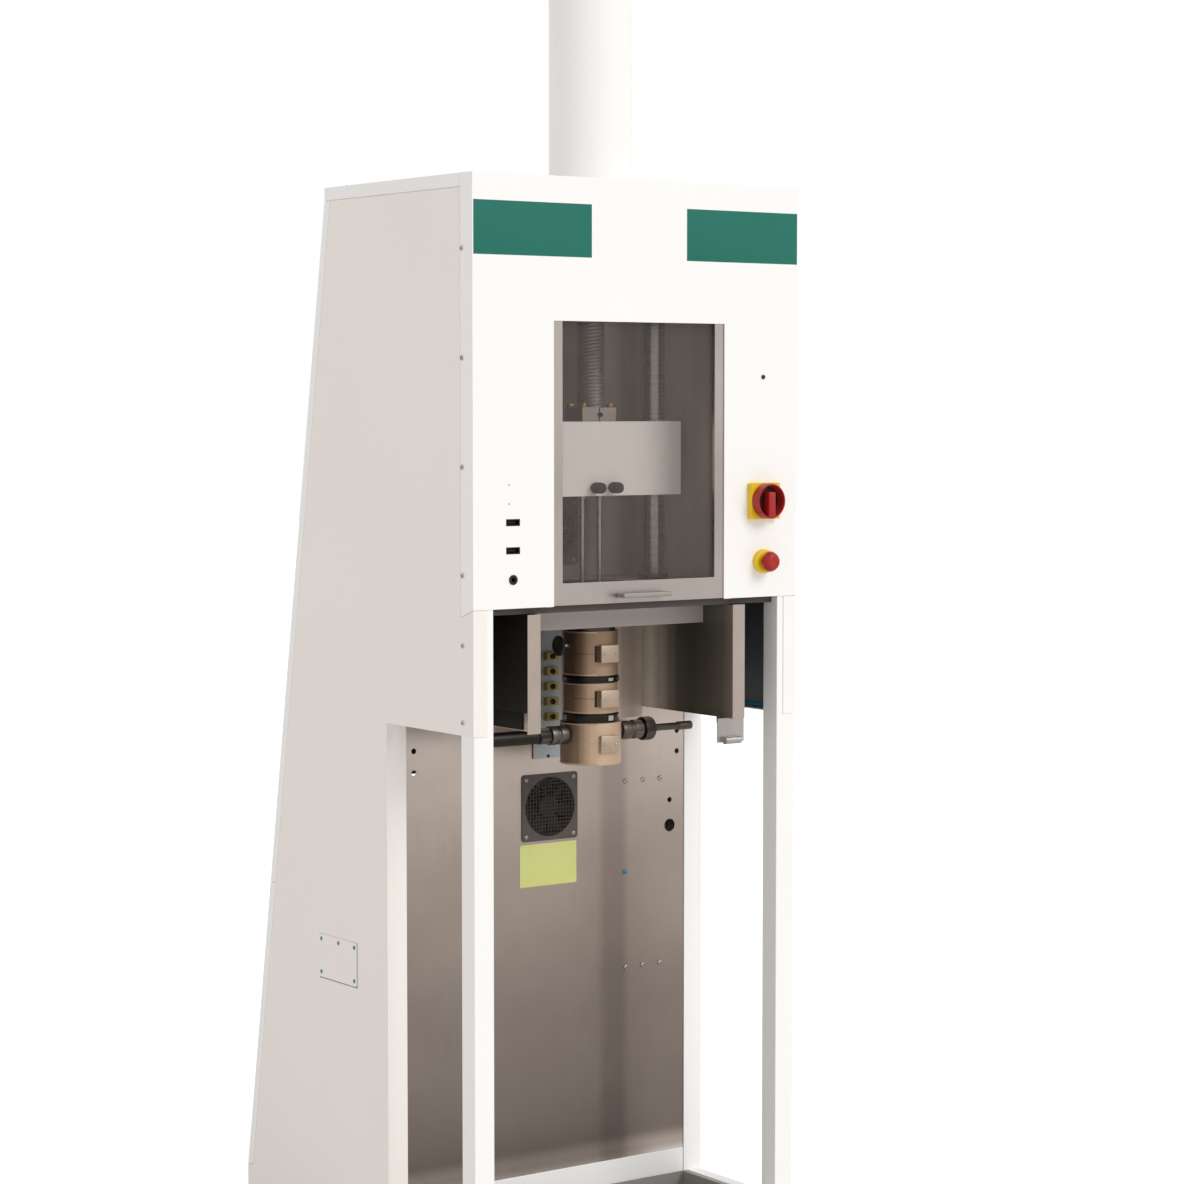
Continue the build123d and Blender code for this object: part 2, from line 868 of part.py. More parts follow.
# Crown plate carrying the screw nut and the motor
with BuildPart() as crown_plate:
    with BuildSketch(level(crown_z)):
        with Locations((0, front_y + (crown_front + crown_back) / 2)):
            Rectangle(chamber_width + 2 * liner, crown_back - crown_front)
        with Locations((0, axis_y)):
            Circle(nut_diameter / 2 + seat, mode=Mode.SUBTRACT)
        with Locations((0, motor_y)):
            Circle(shaft_hole / 2, mode=Mode.SUBTRACT)
    extrude(amount=crown_thickness)
save(crown_plate, "crown_plate")

# Bearing housing round the ball nut
with BuildPart() as nut_housing:
    with BuildSketch(level(crown_top)):
        with Locations((0, axis_y)):
            Circle(housing_diameter / 2)
            Circle(nut_diameter / 2 + running, mode=Mode.SUBTRACT)
    extrude(amount=housing_height)
    chamfer(nut_housing.edges().group_by(Axis.Z)[-1].sort_by(SortBy.LENGTH)[-1], skin)
save(nut_housing, "nut_housing")

# Ball nut with its collar and belt pulley
drum_height = belt_width + 2 * seat
pulley_height = drum_height + 2 * pulley_flange
with BuildPart() as ball_nut:
    nut_levels = [
        (crown_z - nut_drop, housing_top + seat, nut_diameter),
        (housing_top + seat, pulley_z, (nut_diameter + nut_pulley_diameter) / 2),
        (pulley_z, pulley_z + pulley_flange, nut_pulley_diameter + 2 * pulley_lip),
        (pulley_z + pulley_flange, pulley_z + pulley_flange + drum_height, nut_pulley_diameter),
        (
            pulley_z + pulley_flange + drum_height,
            pulley_z + pulley_height,
            nut_pulley_diameter + 2 * pulley_lip,
        ),
    ]
    for low, high, diameter in nut_levels:
        with BuildSketch(level(low)):
            with Locations((0, axis_y)):
                Circle(diameter / 2)
        extrude(amount=high - low)
    with BuildSketch(level(crown_z - nut_drop)):
        with Locations((0, axis_y)):
            Circle(screw_diameter / 2 + running)
    extrude(amount=pulley_z + pulley_height - crown_z + nut_drop, mode=Mode.SUBTRACT)
save(ball_nut, "ball_nut")

# Motor pulley on its shaft
with BuildPart() as motor_pulley:
    pulley_levels = [
        (crown_z - shaft_hole, pulley_z + pulley_flange, motor_shaft),
        (pulley_z, pulley_z + pulley_flange, motor_pulley_diameter + 2 * pulley_lip),
        (pulley_z + pulley_flange, pulley_z + pulley_flange + drum_height, motor_pulley_diameter),
        (
            pulley_z + pulley_flange + drum_height,
            pulley_z + pulley_height,
            motor_pulley_diameter + 2 * pulley_lip,
        ),
    ]
    for low, high, diameter in pulley_levels:
        with BuildSketch(level(low)):
            with Locations((0, motor_y)):
                Circle(diameter / 2)
        extrude(amount=high - low)
save(motor_pulley, "motor_pulley")

# Drive belt: open loop round both pulleys
belt_z = pulley_z + pulley_flange + seat


def belt_loop(clearance):
    """Outline of a belt lying clear of both pulleys by the given distance."""
    with BuildSketch(level(belt_z)) as loop:
        with Locations((0, axis_y)):
            Circle(nut_pulley_diameter / 2 + clearance)
        with Locations((0, motor_y)):
            Circle(motor_pulley_diameter / 2 + clearance)
        make_hull()
    return loop.sketch


with BuildPart() as drive_belt:
    extrude(belt_loop(seat + belt_thickness), amount=belt_width)
    extrude(belt_loop(seat), amount=belt_width, mode=Mode.SUBTRACT)
save(drive_belt, "drive_belt")

# Drive motor hung under the crown
with BuildPart() as drive_motor:
    with BuildSketch(level(crown_z - motor_length)):
        with Locations((0, motor_y)):
            Rectangle(motor_size, motor_size)
    extrude(amount=motor_length)
    with BuildSketch(level(crown_z - shaft_hole - seat)):
        with Locations((0, motor_y)):
            Circle(motor_shaft / 2 + running)
    extrude(amount=shaft_hole + seat, mode=Mode.SUBTRACT)
    with BuildSketch(level(crown_z - motor_length * 0.55)):
        with Locations((0, motor_y)):
            Rectangle(2 * motor_size, 2 * motor_size)
            Rectangle(motor_size - 2 * skin, motor_size - 2 * skin, mode=Mode.SUBTRACT)
    extrude(amount=motor_length * 0.4, mode=Mode.SUBTRACT)
save(drive_motor, "drive_motor")

# Screw tube with its flange under the top cover, and its cap
tube_top = top_z + tube_height - (cap_height - cap_skirt)
with BuildPart() as screw_tube:
    with BuildSketch(level(top_z - skin - tube_flange)):
        with Locations((0, axis_y)):
            Circle(tube_flange_diameter / 2)
    extrude(amount=tube_flange)
    with BuildSketch(level(top_z - skin)):
        with Locations((0, axis_y)):
            Circle(tube_diameter / 2)
    extrude(amount=tube_top - top_z + skin)
    with BuildSketch(level(top_z - skin - tube_flange)):
        with Locations((0, axis_y)):
            Circle(tube_diameter / 2 - tube_skin)
    extrude(amount=tube_top - top_z + skin + tube_flange, mode=Mode.SUBTRACT)
save(screw_tube, "screw_tube")

with BuildPart() as tube_cap:
    with BuildSketch(level(tube_top)):
        with Locations((0, axis_y)):
            Circle(tube_diameter / 2)
    extrude(amount=cap_height - cap_skirt)
    chamfer(tube_cap.edges().group_by(Axis.Z)[-1], (cap_height - cap_skirt) / 2)
    with BuildSketch(level(tube_top - cap_skirt)):
        with Locations((0, axis_y)):
            Circle(tube_diameter / 2 - tube_skin - seat)
            Circle(tube_diameter / 2 - 2 * tube_skin - seat, mode=Mode.SUBTRACT)
    extrude(amount=cap_skirt)
save(tube_cap, "tube_cap")

# Crosshead block: heavy beam bored for the bushes and the end of the screw
block_half = cover_width / 2 - skin - seam
block_mid = block_y + block_depth / 2
socket_floor = block_top - screw_socket
with BuildPart() as crosshead_block:
    bar((-block_half, block_half), (block_y, block_y + block_depth), (block_bottom, block_top))
    upright_edges = crosshead_block.edges().filter_by(Axis.Z).group_by(Axis.Y)[-1]
    chamfer(upright_edges, skin)
    with BuildSketch(level(block_bottom)):
        with Locations((-column_x, axis_y), (column_x, axis_y)):
            Circle(bush_diameter / 2 + seat)
    extrude(amount=block_top - block_bottom, mode=Mode.SUBTRACT)
    with BuildSketch(level(socket_floor)):
        with Locations((0, axis_y)):
            Circle(screw_diameter / 2 + seat)
    extrude(amount=screw_socket, mode=Mode.SUBTRACT)
save(crosshead_block, "crosshead_block")

# Crosshead cover: folded sheet over the front and the ends of the block
knob_x = bore_spacing / 2
with BuildPart() as crosshead_cover:
    with BuildSketch(across(cover_y)):
        with Locations((0, (cover_bottom + cover_top) / 2)):
            Rectangle(cover_width, cover_height)
        with Locations((-knob_x, knob_z), (knob_x, knob_z)):
            Circle(knob_stem / 2 + running, mode=Mode.SUBTRACT)
    extrude(amount=-skin)
    for side in (-1, 1):
        bar(
            sorted((side * cover_width / 2, side * (cover_width / 2 - skin))),
            (cover_y, cover_y + cover_return),
            (cover_bottom, cover_top),
        )
save(crosshead_cover, "crosshead_cover")

# Guide bushes, each hung by its flange on the block's top
bushes = []
for side in (-1, 1):
    with BuildPart() as bush:
        bush_levels = [
            (block_bottom, block_top, bush_diameter),
            (block_top, block_top + bush_flange, bush_flange_diameter),
        ]
        for low, high, diameter in bush_levels:
            with BuildSketch(level(low)):
                with Locations((side * column_x, axis_y)):
                    Circle(diameter / 2)
                    Circle(column_diameter / 2 + running, mode=Mode.SUBTRACT)
            extrude(amount=high - low)
    bushes.append(bush)
group(bushes, "guide_bushes")

# Screw clamp: split block on the crosshead
clamp_slit = skin
with BuildPart() as screw_clamp:
    with BuildSketch(level(block_top)):
        with Locations((0, axis_y)):
            Rectangle(clamp_width, clamp_depth)
            Circle(screw_diameter / 2 + seat, mode=Mode.SUBTRACT)
        with Locations((0, axis_y - clamp_depth / 2)):
            Rectangle(clamp_slit, clamp_depth, mode=Mode.SUBTRACT)
    extrude(amount=clamp_top - block_top)
    chamfer(screw_clamp.edges().filter_by(Axis.Z).group_by(Axis.X)[0], skin / 2)
    chamfer(screw_clamp.edges().filter_by(Axis.Z).group_by(Axis.X)[-1], skin / 2)
save(screw_clamp, "screw_clamp")

# Ball screw standing in the block
with BuildPart() as ball_screw:
    with BuildSketch(level(socket_floor)):
        with Locations((0, axis_y)):
            Circle(screw_diameter / 2)
    extrude(amount=top_z + screw_rise - socket_floor)
    chamfer(ball_screw.edges().group_by(Axis.Z)[-1], skin)
save(ball_screw, "ball_screw")

# Load cells under the block, one over each piston, bored across for the knob stems
cells = []
for side in (-1, 1):
    with BuildPart() as cell:
        with BuildSketch(level(holder_bottom)):
            with Locations((side * knob_x, axis_y)):
                Circle(holder_diameter / 2)
        extrude(amount=holder_height)
        with BuildSketch(across(axis_y - holder_diameter / 2 + knob_stem_depth)):
            with Locations((side * knob_x, knob_z)):
                Circle(knob_stem / 2 + running)
        extrude(amount=holder_diameter, mode=Mode.SUBTRACT)
    cells.append(cell)
group(cells, "load_cells")

# Pistons: collar, rod and tip on one axis
piston_bottom = platen_z - piston_inserted
for name, side in (("left_piston", -1), ("right_piston", 1)):
    with BuildPart() as piston:
        piston_levels = [
            (holder_bottom - piston_collar_height, holder_bottom, piston_collar),
            (piston_bottom, holder_bottom, piston_rod),
            (piston_bottom, piston_bottom + piston_tip_height, bore_diameter - 2 * running),
        ]
        for low, high, diameter in piston_levels:
            with BuildSketch(level(low)):
                with Locations((side * knob_x, axis_y)):
                    Circle(diameter / 2)
            extrude(amount=high - low)
        chamfer(piston.edges().group_by(Axis.Z)[0], seat)
    save(piston, name)

# Piston knobs: turned grips with a stem into the load cell
knob_face = cover_y - seat
for name, side in (("left_piston_knob", -1), ("right_piston_knob", 1)):
    with BuildPart() as piston_knob:
        with BuildSketch(across(knob_face)):
            with Locations((side * knob_x, knob_z)):
                Circle(knob_diameter / 2)
        extrude(amount=knob_length)
        rim = piston_knob.edges().group_by(Axis.Y)[0]
        chamfer(rim, seam)
        with BuildSketch(across(axis_y - holder_diameter / 2 + knob_stem_depth - seat)):
            with Locations((side * knob_x, knob_z)):
                Circle(knob_stem / 2)
        extrude(amount=axis_y - holder_diameter / 2 + knob_stem_depth - seat - knob_face)
    save(piston_knob, name)

# Barrel: flanged block with two bores, die pockets and transducer ports
core_radius = barrel_core / 2
port_floor = core_radius - transducer_pocket
with BuildPart() as barrel:
    with BuildSketch(level(barrel_bottom)):
        with Locations((0, axis_y)):
            Circle(core_radius)
    extrude(amount=barrel_length)
    with BuildSketch(level(platen_z - barrel_flange)):
        with Locations((0, axis_y)):
            Circle(barrel_flange_diameter / 2)
    extrude(amount=barrel_flange)
    barrel_cuts = [
        (platen_z - bore_depth, bore_depth, bore_diameter / 2),
        (barrel_bottom, barrel_length, die_hole / 2),
        (barrel_bottom, die_nut_height, die_nut_diameter / 2 + seat),
    ]
    for low, height, radius in barrel_cuts:
        with BuildSketch(level(low)):
            with Locations((-knob_x, axis_y), (knob_x, axis_y)):
                Circle(radius)
        extrude(amount=height, mode=Mode.SUBTRACT)
    for side in (-1, 1):
        with BuildSketch(along(side * port_floor)):
            with Locations((axis_y, transducer_z)):
                Circle(transducer_stem / 2 + seat)
        extrude(amount=side * core_radius, mode=Mode.SUBTRACT)
save(barrel, "barrel")

# Die nuts screwed into the barrel's foot
die_nuts = []
for side in (-1, 1):
    with BuildPart() as die_nut:
        with BuildSketch(level(barrel_bottom)):
            with Locations((side * knob_x, axis_y)):
                Circle(die_nut_diameter / 2)
                Circle(die_hole / 2, mode=Mode.SUBTRACT)
        extrude(amount=die_nut_height)
        with BuildSketch(level(barrel_bottom)):
            with Locations((side * knob_x, axis_y)):
                RegularPolygon(die_socket / 2, 6, major_radius=False)
        extrude(amount=die_socket_depth, mode=Mode.SUBTRACT)
    die_nuts.append(die_nut)
group(die_nuts, "die_nuts")

# Heater bands: sleeves round the barrel with a terminal box at the front
band_table = {
    "upper_heater_band": (upper_band_drop, upper_band_height, band_diameter),
    "middle_heater_band": (middle_band_drop, middle_band_height, band_diameter),
    "lower_heater_band": (lower_band_drop, lower_band_height, lower_band_diameter),
}
lug_y = axis_y - lug_reach
knob_disc_z = platen_z - barrel_knob_drop
for name, (drop, height, diameter) in band_table.items():
    with BuildPart() as heater_band:
        band_top = platen_z - drop
        with BuildSketch(level(band_top - height)):
            with Locations((0, axis_y)):
                Circle(diameter / 2)
        extrude(amount=height)
        bar(
            (-lug_width / 2, lug_width / 2),
            (lug_y, axis_y),
            (band_top - height / 2 - lug_height / 2, band_top - height / 2 + lug_height / 2),
        )
        box_edges = heater_band.edges().filter_by(Axis.Z).group_by(Axis.Y)[0]
        chamfer(box_edges, skin)
        with BuildSketch(level(band_top - height)):
            with Locations((0, axis_y)):
                Circle(core_radius + seat)
        extrude(amount=height, mode=Mode.SUBTRACT)
        with BuildSketch(level(band_top - height)):
            with Locations((0, axis_y + core_radius)):
                Rectangle(band_groove, diameter / 2)
        extrude(amount=height, mode=Mode.SUBTRACT)
        if name == "upper_heater_band":
            with BuildSketch(along(-core_radius - seam)):
                with Locations((axis_y, knob_disc_z)):
                    Circle(barrel_knob_stem / 2 + running)
            extrude(amount=-diameter, mode=Mode.SUBTRACT)
        if name == "lower_heater_band":
            with BuildSketch(along(-diameter)):
                with Locations((axis_y, transducer_z)):
                    Circle(transducer_stem / 2 + seat)
            extrude(amount=2 * diameter, mode=Mode.SUBTRACT)
    save(heater_band, name)

# Melt pressure transducers on the two sides of the barrel
right_ends = [port_floor, transducer_reach]
for length in (body_length, flange_length, rod_length, cap_length):
    right_ends.append(right_ends[-1] + length)
left_ends = [port_floor, left_reach]
for length in (left_body_length, left_neck_length, left_housing_length):
    left_ends.append(left_ends[-1] + length)
transducers = {
    "right_transducer": (
        1,
        right_ends,
        (transducer_stem, transducer_body, transducer_flange, transducer_rod, transducer_cap),
    ),
    "left_transducer": (-1, left_ends, (transducer_stem, transducer_body, left_neck, left_housing)),
}
for name, (side, ends, diameters) in transducers.items():
    with BuildPart() as transducer:
        for start, finish, diameter in zip(ends[:-1], ends[1:], diameters):
            with BuildSketch(along(side * start)):
                with Locations((axis_y, transducer_z)):
                    Circle(diameter / 2)
            extrude(amount=side * (finish - start))
        far_edge = transducer.edges().filter_by(GeomType.CIRCLE).sort_by(Axis.X)[-1 if side > 0 else 0]
        chamfer(far_edge, seam)
    save(transducer, name)

# Barrel knob: round grip at the side of the upper band
knob_inner = band_diameter / 2 + barrel_knob_reach
with BuildPart() as barrel_knob:
    with BuildSketch(along(-knob_inner)):
        with Locations((axis_y, knob_disc_z)):
            Circle(barrel_knob_diameter / 2)
    extrude(amount=-barrel_knob_thickness)
    rim = barrel_knob.edges().sort_by(Axis.X)[0]
    chamfer(rim, skin)
    with BuildSketch(along(-core_radius - seam - seat)):
        with Locations((axis_y, knob_disc_z)):
            Circle(barrel_knob_stem / 2)
    extrude(amount=-(knob_inner - core_radius - seam - seat))
save(barrel_knob, "barrel_knob")

# Thermocouple sockets in a column on the back wall
sockets = []
for index in range(socket_count):
    with BuildPart() as socket:
        socket_z = first_socket_z - index * socket_pitch
        with BuildSketch(across(socket_face)):
            with Locations((socket_x, socket_z)):
                Rectangle(socket_width, socket_height)
        extrude(amount=socket_depth)
        with BuildSketch(across(socket_face - socket_depth)):
            with Locations((socket_x, socket_z)):
                with GridLocations(socket_height / 2, 0, 2, 1):
                    Rectangle(skin, socket_height / 2.5)
        extrude(amount=-socket_depth / 2, mode=Mode.SUBTRACT)
    sockets.append(socket)
group(sockets, "thermocouple_sockets")

# Guard door: frame, glass in its rear rebate and bow handle
header_z = top_z - header_height
door_half = doorway_width / 2 + door_overlap
door_bottom = panel_bottom + seam
door_top = header_z + top_rail + door_reveal
door_front = panel_back + door_gap
glass_half = doorway_width / 2 - stile_width
glass_low = door_bottom + bottom_rail
glass_high = door_top - top_rail
glass_mid = (glass_low + glass_high) / 2
with BuildPart() as door_frame:
    bar((-door_half, door_half), (door_front, door_front + door_thickness), (door_bottom, door_top))
    with BuildSketch(across(door_front)):
        with Locations((0, glass_mid)):
            Rectangle(2 * glass_half, glass_high - glass_low)
    extrude(amount=-door_thickness, mode=Mode.SUBTRACT)
    with BuildSketch(across(door_front + door_thickness)):
        with Locations((0, glass_mid)):
            Rectangle(2 * (glass_half + glass_margin), glass_high - glass_low + 2 * glass_margin)
    extrude(amount=glass_thickness, mode=Mode.SUBTRACT)
    chamfer(door_frame.edges().filter_by(Axis.Z).group_by(Axis.Y)[0].group_by(Axis.X)[0], seam)
save(door_frame, "door_frame")

with BuildPart() as door_glass:
    with BuildSketch(across(door_front + door_thickness)):
        with Locations((0, glass_mid)):
            Rectangle(2 * (glass_half + glass_margin), glass_high - glass_low + 2 * glass_margin)
    extrude(amount=glass_thickness)
save(door_glass, "door_glass")

handle_z = door_bottom + handle_rise
with BuildPart() as door_handle:
    with BuildSketch(level(handle_z - handle_bar / 2)):
        with Locations((0, door_front - handle_standoff / 2)):
            RectangleRounded(handle_span + handle_bar, handle_standoff, skin)
        with Locations((0, door_front)):
            Rectangle(
                handle_span - handle_bar,
                2 * (handle_standoff - handle_bar),
                mode=Mode.SUBTRACT,
            )
        with Locations((0, door_front - skin)):
            with GridLocations(handle_span, 0, 2, 1):
                Rectangle(handle_bar, 2 * skin)
    extrude(amount=handle_bar)
save(door_handle, "door_handle")

# Door channels: Z sections on the back of the front panel, with stop tabs under the door
channel_inner = door_half + channel_gap
channel_back = door_front + door_thickness + door_gap
channel_low = door_bottom - seat - skin
channel_high = top_z - channel_foot
channels = []
for side in (-1, 1):
    with BuildPart() as channel:
        bar(
            sorted((side * channel_inner, side * (channel_inner + skin))),
            (panel_back, channel_back + liner),
            (channel_low, channel_high),
        )
        bar(
            sorted((side * (channel_inner - channel_lip), side * channel_inner)),
            (channel_back, channel_back + liner),
            (channel_low, channel_high),
        )
        bar(
            sorted((side * channel_inner, side * (channel_inner + channel_lip - skin))),
            (panel_back, panel_back + skin),
            (panel_bottom, channel_high),
        )
        bar(
            sorted((side * (channel_inner - channel_lip), side * channel_inner)),
            (panel_back + door_gap, channel_back + liner),
            (channel_low, channel_low + skin),
        )
    channels.append(channel)
group(channels, "door_channels")

# Main isolator: square plate with its switch body, and the rotary handle
isolator_z = top_z - isolator_drop
plate_face = front_y - isolator_plate_depth
with BuildPart() as isolator_plate:
    with BuildSketch(across(front_y)):
        with Locations((isolator_x, isolator_z)):
            RectangleRounded(isolator_size, isolator_size, skin)
    extrude(amount=isolator_plate_depth)
    with BuildSketch(across(front_y)):
        with Locations((isolator_x, isolator_z)):
            Circle(isolator_body / 2 - seat)
    extrude(amount=-isolator_body_depth)
    with BuildSketch(across(plate_face)):
        with Locations((isolator_x, isolator_z)):
            Circle(isolator_shaft / 2 + running)
    extrude(amount=-(isolator_plate_depth + isolator_body_depth / 2), mode=Mode.SUBTRACT)
save(isolator_plate, "isolator_plate")

handle_back = plate_face - seat
handle_front = front_y - isolator_proud
rim_front = handle_front + skin
grip_foot = (isolator_handle_diameter - isolator_rim) / 2
grip_z = isolator_z + (isolator_grip_top - grip_foot) / 2
with BuildPart() as isolator_handle:
    with BuildSketch(across(handle_back)):
        with Locations((isolator_x, isolator_z)):
            Circle(isolator_handle_diameter / 2)
    extrude(amount=handle_back - rim_front)
    with BuildSketch(across(handle_back - isolator_web)):
        with Locations((isolator_x, isolator_z)):
            Circle(isolator_handle_diameter / 2 - isolator_rim)
        with Locations((isolator_x, grip_z)):
            SlotOverall(isolator_grip_top + grip_foot, isolator_grip, rotation=90, mode=Mode.SUBTRACT)
    extrude(amount=handle_back - isolator_web - rim_front, mode=Mode.SUBTRACT)
    with BuildSketch(across(rim_front)):
        with Locations((isolator_x, grip_z)):
            SlotOverall(isolator_grip_top + grip_foot, isolator_grip, rotation=90)
    extrude(amount=rim_front - handle_front)
    chamfer(isolator_handle.edges().group_by(Axis.Y)[0], seam)
    with BuildSketch(across(handle_back)):
        with Locations((isolator_x, isolator_z)):
            Circle(isolator_shaft / 2)
    extrude(amount=-isolator_body_depth / 2)
save(isolator_handle, "isolator_handle")

# Emergency stop: collar with its contact body, and the mushroom button
estop_z = top_z - estop_drop
collar_face = front_y - estop_collar_depth
with BuildPart() as estop_collar:
    with BuildSketch(across(front_y)):
        with Locations((estop_x, estop_z)):
            Circle(estop_collar_diameter / 2)
    extrude(amount=estop_collar_depth)
    chamfer(estop_collar.edges().group_by(Axis.Y)[0], skin)
    with BuildSketch(across(front_y)):
        with Locations((estop_x, estop_z)):
            Circle(estop_body / 2 - seat)
    extrude(amount=-estop_body_depth)
    with BuildSketch(across(collar_face)):
        with Locations((estop_x, estop_z)):
            Circle(estop_stem / 2 + running)
    extrude(amount=-(estop_collar_depth + estop_body_depth / 2), mode=Mode.SUBTRACT)
save(estop_collar, "estop_collar")

with BuildPart() as estop_button:
    with BuildSketch(across(collar_face - estop_gap)):
        with Locations((estop_x, estop_z)):
            Circle(estop_head / 2)
    extrude(amount=estop_head_depth)
    chamfer(estop_button.edges().group_by(Axis.Y)[0], estop_head_depth / 3)
    with BuildSketch(across(collar_face - estop_gap)):
        with Locations((estop_x, estop_z)):
            Circle(estop_stem / 2)
    extrude(amount=-(estop_gap + estop_collar_depth + estop_body_depth / 2 - estop_travel - skin))
save(estop_button, "estop_button")

# Front sockets: two data ports, a jack, the indicator lamp and two signal lenses
port_solids = []
for drop in (upper_port_drop, lower_port_drop):
    with BuildPart() as port:
        with BuildSketch(across(front_y)):
            with Locations((port_x, top_z - drop)):
                Rectangle(port_width, port_height)
        extrude(amount=-port_depth)
        with BuildSketch(across(panel_back)):
            with Locations((port_x, top_z - drop)):
                Rectangle(port_width + 2 * port_wall, port_height + 2 * port_wall)
        extrude(amount=-port_wall)
        with BuildSketch(across(front_y)):
            with Locations((port_x, top_z - drop)):
                Rectangle(port_width - 2 * port_wall, port_height - 2 * port_wall)
        extrude(amount=-(port_depth - port_wall), mode=Mode.SUBTRACT)
    port_solids.append(port)
with BuildPart() as jack:
    with BuildSketch(across(front_y)):
        with Locations((port_x, top_z - jack_drop)):
            Circle(jack_diameter / 2)
    extrude(amount=liner)
    with BuildSketch(across(front_y)):
        with Locations((port_x, top_z - jack_drop)):
            Circle(jack_neck / 2 - seat)
    extrude(amount=-jack_depth)
    with BuildSketch(across(front_y - liner)):
        with Locations((port_x, top_z - jack_drop)):
            Circle(jack_bore / 2)
    extrude(amount=-jack_depth, mode=Mode.SUBTRACT)
port_solids.append(jack)
lens_table = [
    (lamp_x, lamp_drop, lamp_diameter, skin),
    (dot_x, upper_dot_drop, dot_diameter, 0),
    (dot_x, lower_dot_drop, dot_diameter, 0),
]
for lens_x, drop, diameter, proud in lens_table:
    with BuildPart() as lens:
        with BuildSketch(across(panel_back)):
            with Locations((lens_x, top_z - drop)):
                Rectangle(diameter + 2 * lens_flange, diameter + 2 * lens_flange)
        extrude(amount=-lens_depth)
        with BuildSketch(across(panel_back)):
            with Locations((lens_x, top_z - drop)):
                Circle(diameter / 2 - seat)
        extrude(amount=skin + proud)
    port_solids.append(lens)
group(port_solids, "front_sockets")

# Fans: square frame behind each wall, square guard plate with a wire grille, and a rotor on a fixed shaft
fan_places = {
    "upper": (upper_fan_z, bay_y, bay_y + liner),
    "lower": (lower_fan_z, bay_y + skin, bay_y + skin + liner),
}
fan_solids = []
for fan_z, wall_face, wall_rear in fan_places.values():
    with BuildPart() as fan_frame:
        with BuildSketch(across(wall_rear)):
            with Locations((0, fan_z)):
                Rectangle(fan_size, fan_size)
                Circle(fan_bore / 2, mode=Mode.SUBTRACT)
        extrude(amount=-fan_depth)
        with BuildSketch(across(wall_rear + fan_depth - fan_plate)):
            with Locations((0, fan_z)):
                Circle(fan_hub / 2)
                Rectangle(fan_size, fan_strut, rotation=45)
                Rectangle(fan_size, fan_strut, rotation=-45)
        extrude(amount=-fan_plate)
        with BuildSketch(across(wall_rear + fan_depth - fan_plate)):
            with Locations((0, fan_z)):
                Circle(fan_shaft / 2)
        extrude(amount=fan_depth / 2)
    fan_solids.append(fan_frame)
    with BuildPart() as fan_guard:
        with BuildSketch(across(wall_face)):
            with Locations((0, fan_z)):
                Rectangle(fan_size, fan_size)
                Circle(guard_opening / 2, mode=Mode.SUBTRACT)
        extrude(amount=guard_plate)
        with BuildSketch(across(wall_face)):
            with Locations((0, fan_z)):
                with GridLocations(guard_pitch, 0, guard_count, 1):
                    Rectangle(guard_wire, guard_opening)
                with GridLocations(0, guard_pitch, 1, guard_count):
                    Rectangle(guard_opening, guard_wire)
                Circle(guard_opening / 2 + guard_wire, mode=Mode.INTERSECT)
        extrude(amount=guard_wire)
    fan_solids.append(fan_guard)
group(fan_solids, "fan_housings")

rotor_depth = fan_depth - fan_plate - 2 * skin
rotor_tip = fan_bore / 2 - skin
for name in ("upper", "lower"):
    fan_z, wall_face, wall_rear = fan_places[name]
    with BuildPart() as rotor:
        with BuildSketch(across(wall_rear + skin)):
            with Locations((0, fan_z)):
                Circle(fan_hub / 2)
        extrude(amount=-rotor_depth)
        for index in range(fan_blades):
            blade_angle = 360 * index / fan_blades
            blade_frame = Location((0, wall_rear + skin + rotor_depth / 2, fan_z), (0, blade_angle, 0))
            with BuildSketch(Plane(blade_frame * Location((0, 0, fan_hub / 2 - skin)))):
                Rectangle(rotor_tip / 2.4, skin, rotation=32)
            extrude(amount=rotor_tip - fan_hub / 2 + skin / 2)
        with BuildSketch(across(wall_rear + skin + rotor_depth)):
            with Locations((0, fan_z)):
                Circle(fan_shaft / 2 + running)
        extrude(amount=fan_depth / 2 - seat, mode=Mode.SUBTRACT)
    save(rotor, f"{name}_fan_rotor")

# Guard bracket with its roller, under the front edge of the right chamber wall
bracket_y = front_y + bracket_setback
with BuildPart() as guard_bracket:
    bar(
        (half_chamber - bracket_inward, half_chamber + bracket_outward),
        (bracket_y, bracket_y + skin),
        (wall_bottom - bracket_height, wall_bottom),
    )
    bar(
        (half_chamber + liner, half_chamber + liner + skin),
        (bracket_y, bracket_y + bracket_tab),
        (wall_bottom - bracket_height / 4, wall_bottom + bracket_tab),
    )
    with BuildSketch(along(half_chamber - roller_diameter / 2)):
        with Locations((bracket_y - roller_diameter / 2 + roller_bite, wall_bottom - roller_drop)):
            Circle(roller_diameter / 2)
    extrude(amount=roller_length)
save(guard_bracket, "guard_brackets")

# Control box bolted to the back of the load frame
control_y = load_y + load_tube
control_z = base_top + control_rise
with BuildPart() as control_box:
    bar(
        (-control_width / 2, control_width / 2),
        (control_y, control_y + control_depth),
        (control_z, control_z + control_height),
    )
    offset(amount=-control_lid, openings=control_box.faces().sort_by(Axis.Y)[-1])
    bar(
        (-control_width / 2, control_width / 2),
        (control_y + control_depth, control_y + control_depth + control_lid),
        (control_z, control_z + control_height),
    )
save(control_box, "control_box")
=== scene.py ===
import json
from math import cos, pi, radians, sin, tau

import bmesh
import bpy
from mathutils import Matrix, Vector

